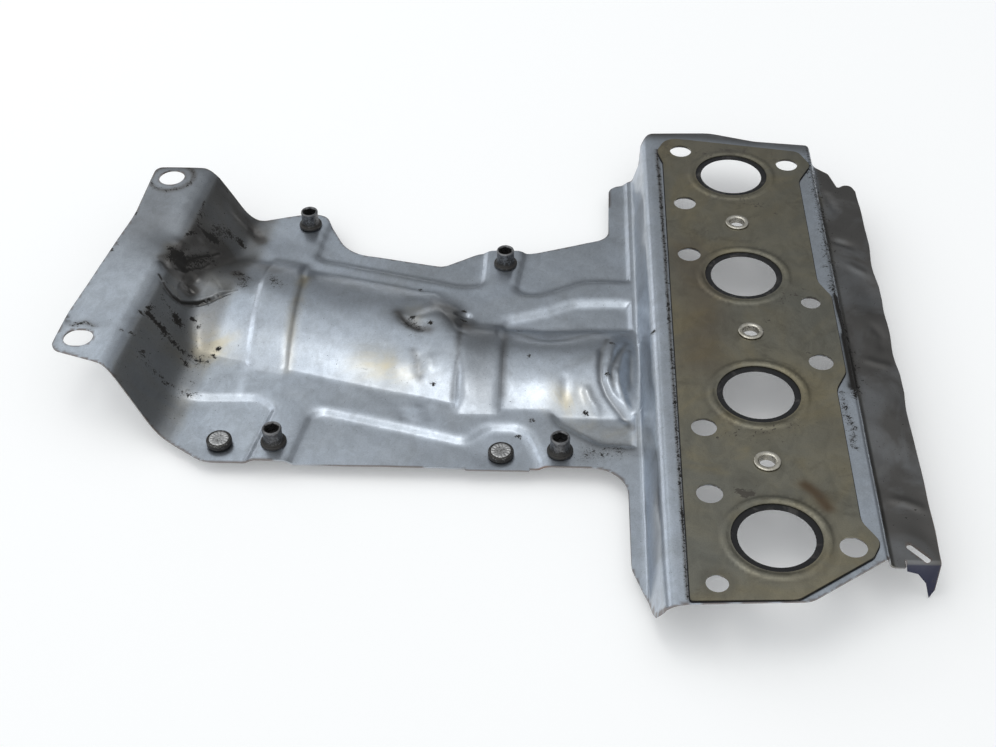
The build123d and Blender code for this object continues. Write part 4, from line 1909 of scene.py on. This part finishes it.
COVER_HEAD = ((-246.2, 51.9), (-241.4, 47.4), (-242.1, 42.7))
GASKET_EDGE = ((-37.4, 150.0), (-36.6, 60.0), (-36.5, -158.0))
FLANGE_CREASE = ((45.5, 81.7), (53.9, 77.5), (57.9, 74.3))
FLANGE_SCORE = ((47.6, 124.8), (50.1, 115.9), (52.7, 103.7))
PORT_STREAK = ((14.1, -97.1), (16.6, -99.9), (18.7, -102.6), (21.9, -109.8))

dirt, grime_and_shade, soot_and_shadow, warmth, rust, worn_and_highlight = (
    partial(Mark, layer) for layer in (Layer.DIRT, Layer.GRIME_AND_SHADE, Layer.SOOT_AND_SHADOW, Layer.WARMTH, Layer.RUST, Layer.WORN_AND_HIGHLIGHT))


def sheet_folds() -> tuple[Relief, ...]:
    """Creases and wrinkles of the sheet, as the photo shows them."""
    pinch_a, pinch_b, pinch_c, pinch_d = PINCH_LINES
    return (
        Lap(LAP_LINE, 1.6, 0.7, 7.0, 0.7, 0.5, 0.22),
        Fold(VALLEY, -1.3, 1.6, 1.6, 0.3),
        Fold(pinch_a, -2.3, 1.5, 1.3, 0.22),
        Fold(pinch_b, -1.7, 1.3, 1.2, 0.25),
        Fold(pinch_c, -1.3, 1.2, 1.1, 0.3),
        Fold(pinch_d, -0.9, 1.0, 1.0, 0.3),
        Fold(((-276.0, 52.0), (-270.5, 60.0), (-264.0, 68.5)), 1.1, 2.4, 2.0, 0.3),
        Fold(((-259.2, 100.3), (-254.6, 99.6), (-247.7, 98.3), (-241.3, 90.3)), -0.7, 1.6, 1.4, 0.3),
        Fold(CRESCENT, -1.5, 2.4, 1.2, 0.3),
        Fold(CORNER_RIDGE, 0.5, 2.4, 2.6, 0.3),
        Fold(((-139.0, 29.0), (-134.0, 30.5), (-129.0, 31.5)), -1.3, 1.4, 1.4, 0.3),
        Fold(NEAR_FOLD, -0.5, 2.2, 1.6, 0.3),
        Fold(((-147.8, -4.0), (-147.0, -10.0), (-146.4, -16.0)), 0.45, 2.2, 2.0, 0.35),
        Fold(((-157.0, -33.0), (-157.5, -38.0), (-158.0, -43.0)), -0.35, 1.3, 1.3, 0.3),
        Fold(((-150.5, -31.0), (-151.0, -37.0), (-151.5, -43.0)), 0.4, 1.6, 1.4, 0.3),
        Fold(((-144.5, -31.0), (-145.0, -37.0), (-145.5, -43.0)), -0.3, 1.4, 1.4, 0.3),
        Fold(((-84.5, -15.0), (-84.2, -24.0), (-85.0, -31.5)), -0.6, 1.0, 1.4, 0.3),
        Fold(((-75.7, -21.4), (-74.4, -25.8), (-73.0, -29.3), (-70.2, -33.0), (-67.1, -36.0)), 1.0, 1.6, 1.4, 0.3),
        Fold(WRINKLE_1, -1.2, 1.7, 1.3, 0.2),
        Fold(((-66.0, -8.0), (-65.3, -21.3), (-63.5, -25.6), (-60.8, -29.1), (-58.6, -31.6), (-54.6, -37.5)), 0.9, 1.3,
             1.3, 0.25),
        Fold(WRINKLE_2, -1.0, 1.3, 1.2, 0.25),
        Fold(((-60.7, -10.0), (-59.9, -20.6), (-58.1, -27.7), (-56.3, -31.6), (-54.4, -36.0)), 0.9, 1.3, 1.3, 0.25),
        Fold(WRINKLE_3, -0.7, 1.2, 1.2, 0.3),
        Fold(FLANGE_CREASE, -0.55, 1.4, 0.8, 0.3),
        Fold(FLANGE_SCORE, -0.45, 1.0, 0.9, 0.25),
        Fold(((51.7, 63.6), (56.7, 57.3), (62.0, 54.0)), 0.35, 1.4, 0.9, 0.3),
        Fold(((47.7, -97.0), (55.6, -98.5), (64.9, -103.3)), 0.55, 1.8, 1.0, 0.25),
        Fold(((56.7, 19.2), (61.8, 6.3), (59.0, -6.0)), -0.4, 1.4, 1.2, 0.3),
        Fold(((49.4, -8.0), (56.0, -12.0), (64.2, -14.6)), 0.45, 1.6, 1.2, 0.3),
    )


def sheet_dents() -> tuple[Relief, ...]:
    """Hollows and bulges of the sheet."""
    return (
        Dent((-277.0, 60.0), (8.0, 8.0), 1.8, 35.0),
        Dent((-268.0, 38.0), (3.6, 6.0), 1.8, 20.0),
        Dent((-254.0, 48.0), (9.0, 9.5), -1.4, 20.0),
        Dent((-156.0, 29.0), (5.5, 7.5), 2.2, -35.0),
        Dent((-148.0, 22.0), (6.5, 6.0), -1.2, 0.0),
        Dent((-136.5, 18.0), (3.2, 4.0), 0.8, 0.0),
        Dent((-161.0, -10.0), (4.0, 6.0), -0.6, 0.0),
        Dent((-171.0, 4.0), (12.0, 14.0), 0.6, 0.0),
        Dent((-92.0, 14.0), (9.0, 6.0), 2.4, 0.0),
        Dent((-91.0, -25.0), (6.0, 6.0), -0.8, 30.0),
        Dent((-237.4, -56.4), (9.0, 7.0), 0.7, 0.0),
        Dent((-112.0, -60.8), (9.0, 6.0), 0.4, 0.0),
        Dent((-252.0, -30.0), (14.0, 10.0), 0.7, 20.0),
        Dent((-228.0, 92.0), (10.0, 8.0), 0.5, 0.0),
        Dent((61.0, 38.0), (5.0, 12.0), 0.9, 0.0),
        Dent((56.0, -40.0), (7.0, 22.0), -0.6, 0.0),
        Dent((62.0, -112.0), (5.0, 10.0), 0.7, 0.0),
    )


def blots(layer: Layer, amount: float, reach: float, places: Sequence[Point2]) -> tuple[Mark, ...]:
    """Round marks of one kind at several places."""
    return tuple(Mark(layer, amount, reach, (place,)) for place in places)


def sheet_marks() -> tuple[Mark, ...]:
    """Dirt, stains, wear, painted shade and painted highlights of the sheet, placed in plan."""
    pinch_a, pinch_b, pinch_c, pinch_d = PINCH_LINES
    # Black marks and darkening along the lap, the pinches, the valley and the fold near the far hole are painted shadow
    # in the folds; the rest is dirt and heat tint.
    wall = (
        soot_and_shadow(1.3, 0.48, LAP_LINE[:6]),
        soot_and_shadow(0.6, 0.35, LAP_LINE[5:]),
        soot_and_shadow(1.1, 0.6, pinch_a),
        soot_and_shadow(0.7, 0.4, pinch_b),
        soot_and_shadow(0.4, 0.4, pinch_c),
        grime_and_shade(1.2, 4.2, pinch_a),
        soot_and_shadow(0.35, 2.6, pinch_b),
        grime_and_shade(0.8, 1.8, pinch_d),
        dirt(0.45, 2.8, ((-272.0, 46.0), (-267.0, 53.0), (-261.5, 60.0))),
        grime_and_shade(0.8, 1.4, VALLEY),
        soot_and_shadow(1.0, 1.4, ((-272.2, 43.3), (-269.8, 43.9))),
        dirt(0.8, 1.2, SCRAPE),
        dirt(0.22, 3.6, SCRAPE),
        dirt(0.42, 0.8, ((-268.0, 91.2), (-268.4, 78.1), (-268.6, 73.7), (-265.0, 72.5))),
        dirt(0.6, 1.0, ((-271.5, 64.2), (-269.1, 67.9))),
        dirt(0.4, 2.6, ((-259.6, 80.6), (-256.7, 84.7))),
        dirt(0.75, 1.1, ((-251.4, 85.0), (-249.8, 82.8))),
        grime_and_shade(0.8, 2.2, ((-261.0, 100.8), (-254.6, 99.6), (-247.7, 98.3), (-241.3, 90.3))),
        dirt(0.75, 1.0, ((-277.4, 3.2), (-275.7, 2.3), (-273.7, 1.9), (-272.4, 1.6))),
        dirt(0.34, 1.5, ((-270.9, -0.7), (-266.8, -1.7), (-260.9, -1.5), (-257.3, -3.4), (-252.8, -4.7))),
        dirt(0.32, 1.5, ((-277.0, -22.0), (-268.0, -24.0), (-251.4, -27.1))),
        dirt(0.10, 7.0, ((-276.0, 24.0), (-268.0, 4.0), (-262.0, -6.0))),
        dirt(0.7, 1.6, ((-268.5, 12.6), (-267.6, 11.4))),
        dirt(0.55, 2.2, SPUR),
        warmth(0.9, 3.0, SPUR),
        warmth(0.9, 0.9, ((-271.9, 26.3), (-270.4, 25.2), (-269.0, 23.9))),
    )
    wall += blots(Layer.DIRT, 0.75, 1.0, ((-278.6, 6.5), (-281.1, 1.9), (-250.2, -0.3), (-248.2, 3.0), (-262.5, 18.3)))
    wall += blots(Layer.DIRT, 0.65, 1.0, ((-286.2, -13.2), (-282.1, -12.9), (-276.8, -18.1), (-261.5, -7.7),
                                         (-259.5, 14.8), (-303.1, 50.5), (-304.5, 45.6), (-299.6, 76.0)))
    wall += blots(Layer.SOOT_AND_SHADOW, 0.9, 0.9, ((-312.1, -9.1), (-313.0, -5.5)))
    strip = (
        grime_and_shade(0.62, 24.0, ((-282.0, 118.0), (-289.0, 72.0))),
        grime_and_shade(0.16, 18.0, ((-296.0, 30.0), (-300.0, -6.0))),
        worn_and_highlight(0.7, 1.3, FAR_HOLE, 8.4),
        dirt(0.42, 1.0, FAR_HOLE, 11.3),
        grime_and_shade(0.45, 1.0, FAR_HOLE, 11.3),
        worn_and_highlight(0.7, 1.2, ((-304.4, -19.8),), 8.2),
        dirt(0.45, 1.1, NEAR_SLOT),
        grime_and_shade(0.5, 1.4, NEAR_SLOT),
    )
    # The darkening along the rib's right side, in and above the crescent, along the neck rib's foot and along the near
    # fold is painted shade; the lighter line along the rib's left side is a painted highlight.
    cover = (
        dirt(0.45, 2.4, COVER_HEAD),
        grime_and_shade(0.45, 2.6, COVER_HEAD),
        dirt(0.42, 2.6, ((-228.7, 49.1), (-224.6, 42.5))),
        grime_and_shade(0.5, 3.0, ((-235.7, 63.9), (-228.7, 57.3))),
        grime_and_shade(0.5, 0.8, ((-214.0, 52.0), (-213.6, -8.0))),
        warmth(0.8, 1.8, ((-213.6, 54.0), (-213.4, -10.0))),
        worn_and_highlight(1.2, 1.2, ((-233.4, 44.0), (-233.4, -26.0))),
        warmth(0.8, 7.0, ((-262.0, 0.0), (-248.0, 4.0))),
        warmth(0.8, 6.0, ((-178.0, -9.0), (-159.0, -15.0))),
        grime_and_shade(0.8, 2.4, CRESCENT),
        soot_and_shadow(0.75, 0.9, CRESCENT[:4]),
        dirt(0.40, 2.6, CRESCENT[1:4]),
        grime_and_shade(1.0, 6.0, ((-142.0, 32.0), (-135.0, 21.0))),
        warmth(0.5, 4.0, ((-156.0, 28.0), (-157.0, 20.0))),
        grime_and_shade(0.45, 1.0, ((-133.9, 10.0), (-133.9, -13.0), (-135.5, -27.6))),
        grime_and_shade(0.5, 1.2, NEAR_FOLD),
    )
    cover += blots(Layer.DIRT, 0.75, 1.1, ((-157.3, 21.7), (-156.1, 51.0), (-148.2, 15.2), (-133.8, 34.9),
                                          (-133.1, 25.5), (-144.2, -20.5)))
    # The darkening along the rib's right side, the neck's far foot and the wrinkles is painted shade; the lighter patch
    # on the near flank is a painted highlight.
    neck = (
        grime_and_shade(0.5, 1.1, ((-112.6, 20.0), (-112.6, -28.0))),
        grime_and_shade(0.45, 1.5, ((-111.8, 20.1), (-106.0, 16.4), (-96.4, 9.8), (-84.2, 10.3), (-68.1, 18.6))),
        warmth(0.8, 4.5, ((-88.0, -30.0), (-78.0, -28.0))),
        worn_and_highlight(1.0, 6.0, ((-97.0, -27.0), (-90.0, -28.0))),
        grime_and_shade(0.45, 7.5, ((-123.0, 14.0), (-123.0, -27.0))),
        warmth(0.5, 7.0, ((-75.0, -44.0), (-60.0, -50.0))),
        grime_and_shade(0.55, 1.0, WRINKLE_1),
        grime_and_shade(0.50, 0.9, WRINKLE_2),
        grime_and_shade(0.50, 0.9, WRINKLE_3),
        grime_and_shade(0.35, 4.5, ((-73.9, -63.4), (-68.6, -57.1), (-59.9, -58.1), (-52.2, -58.7))),
        dirt(0.35, 4.0, ((-73.9, -62.0), (-59.9, -58.1))),
        rust(0.5, 0.8, ((-97.0, -70.6), (-92.0, -70.2))),
    )
    neck += blots(Layer.DIRT, 0.75, 1.1, ((-106.7, 22.1), (-63.2, 5.6), (-75.2, -34.6), (-98.9, -41.2), (-104.4, -49.6),
                                         (-101.1, -6.1), (-65.3, -16.5), (-44.3, 2.0)))
    # The darkening along the wall's foot and along the step down to the flange is painted shade; along the far edge it
    # is dirt, and the black marks by the gasket are burn.
    plateau = (
        grime_and_shade(0.9, 0.6, GASKET_EDGE),
        dirt(0.5, 0.8, GASKET_EDGE),
        grime_and_shade(0.35, 1.6, ((-47.2, 112.0), (-47.4, 82.4), (-48.2, 60.4), (-49.0, 43.4))),
        grime_and_shade(0.45, 1.3, ((-45.9, -75.0), (-45.9, -100.0), (-46.6, -132.2))),
        soot_and_shadow(1.6, 1.0, ((41.4, 28.0), (42.4, 12.0), (43.0, -2.0), (43.4, -14.0))),
        soot_and_shadow(1.9, 1.9, ((42.8, -2.0), (43.2, -22.0), (42.8, -30.0), (42.0, -35.0))),
        dirt(0.5, 1.8, ((41.0, 38.0), (44.0, 10.0), (44.6, -30.0), (41.5, -42.0))),
        dirt(0.5, 1.2, ((36.2, -39.0), (36.0, -53.7), (39.0, -61.8), (36.4, -70.9), (38.4, -75.0))),
        grime_and_shade(0.85, 4.0, ((-40.0, 166.0), (-9.0, 164.0), (42.0, 154.0))),
        dirt(0.4, 3.0, ((43.0, 150.0), (43.0, 45.0))),
        warmth(1.0, 0.9, ((45.3, 118.0), (45.3, -134.0))),
        grime_and_shade(0.8, 0.8, ((45.2, 118.0), (45.2, -134.0))),
    )
    # The flange's darkening along its crease, its score and the dent's edge is painted shade.
    flange = (
        grime_and_shade(0.6, 1.0, FLANGE_CREASE),
        grime_and_shade(0.5, 0.9, FLANGE_SCORE),
        grime_and_shade(0.6, 2.4, ((62.2, 41.8), (63.0, 34.2))),
    )
    return wall + strip + cover + neck + plateau + flange


def gasket_marks() -> tuple[Mark, ...]:
    """Stains of the gasket's upper layer."""
    marks = (
        grime_and_shade(0.22, 26.0, ((-10.0, 150.0), (10.0, 100.0))),
        dirt(0.9, 1.5, ((-13.4, -101.2), (-10.7, -102.8), (-7.8, -102.2))),
        warmth(0.9, 1.8, PORT_STREAK),
        grime_and_shade(0.7, 1.4, PORT_STREAK),
        grime_and_shade(0.45, 2.0, ((-4.0, -94.7), (-12.1, -94.9))),
        grime_and_shade(0.40, 5.0, ((30.0, -60.0), (28.0, -70.0))),
        grime_and_shade(0.45, 6.0, ((-30.0, 152.0), (0.0, 154.0), (30.0, 143.0))),
        grime_and_shade(0.30, 6.0, ((-22.0, 120.0), (-18.0, 128.0))),
        grime_and_shade(0.60, 1.6, ((-25.0, -150.5),), 6.0),
        warmth(0.35, 8.0, ((-24.0, -20.0), (-20.0, 14.0), (-26.0, 60.0))),
        dirt(0.30, 6.0, ((10.0, 100.0), (-14.0, 146.0))),
        dirt(0.25, 8.0, ((-10.0, -60.0), (10.0, -64.0))),
        dirt(0.28, 5.0, ((16.0, 24.0), (24.0, 28.0))),
    )
    return marks + blots(Layer.DIRT, 0.7, 1.2, ((20.0, 92.0), (-16.0, 77.0), (8.0, 8.0), (-20.0, -70.0), (24.0, -14.0)))


def adopt(piece: bpy.types.Object, node: str) -> None:
    """Let a new piece stand for a CAD node.

    Args:
        piece: The new piece.
        node: The CAD node it stands for.
    """
    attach(piece, BODY)
    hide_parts(node)
    LOG.info("%s: %d vertices", piece.name, len(piece.data.vertices))


def main(frame: dict) -> None:
    """Build the pieces in order.
    """
    cad_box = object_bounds()
    effects = Effects()
    sheet = PressedSheet(sheet_folds() + sheet_dents(), sheet_marks())
    adopt(sheet.build(ShieldSteel().build(effects)), sheet.node)
    plate = GasketPlate(gasket_marks())
    adopt(plate.build(GasketSteel().build(effects)), plate.node)
    layer = frame["nodes"]["gasket_coated_layer"]
    layer.data.materials.clear()
    layer.data.materials.append(CoatedLayer().build(effects))
    adopt(CollarScrews().build(SCREW_STEEL.build(effects)), "collar_screws")
    adopt(RoundHeadStuds().build(STUD_STEEL.build(effects)), "round_head_studs")
    adopt(RolledEyelets().build(EYELET_STEEL.build(effects)), "rivet_eyelets")
    Studio().build(cad_box[0].z)


if __name__ == "__main__":
    logging.basicConfig(level=logging.INFO, format="%(name)s: %(message)s")
    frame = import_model()
    main(frame)
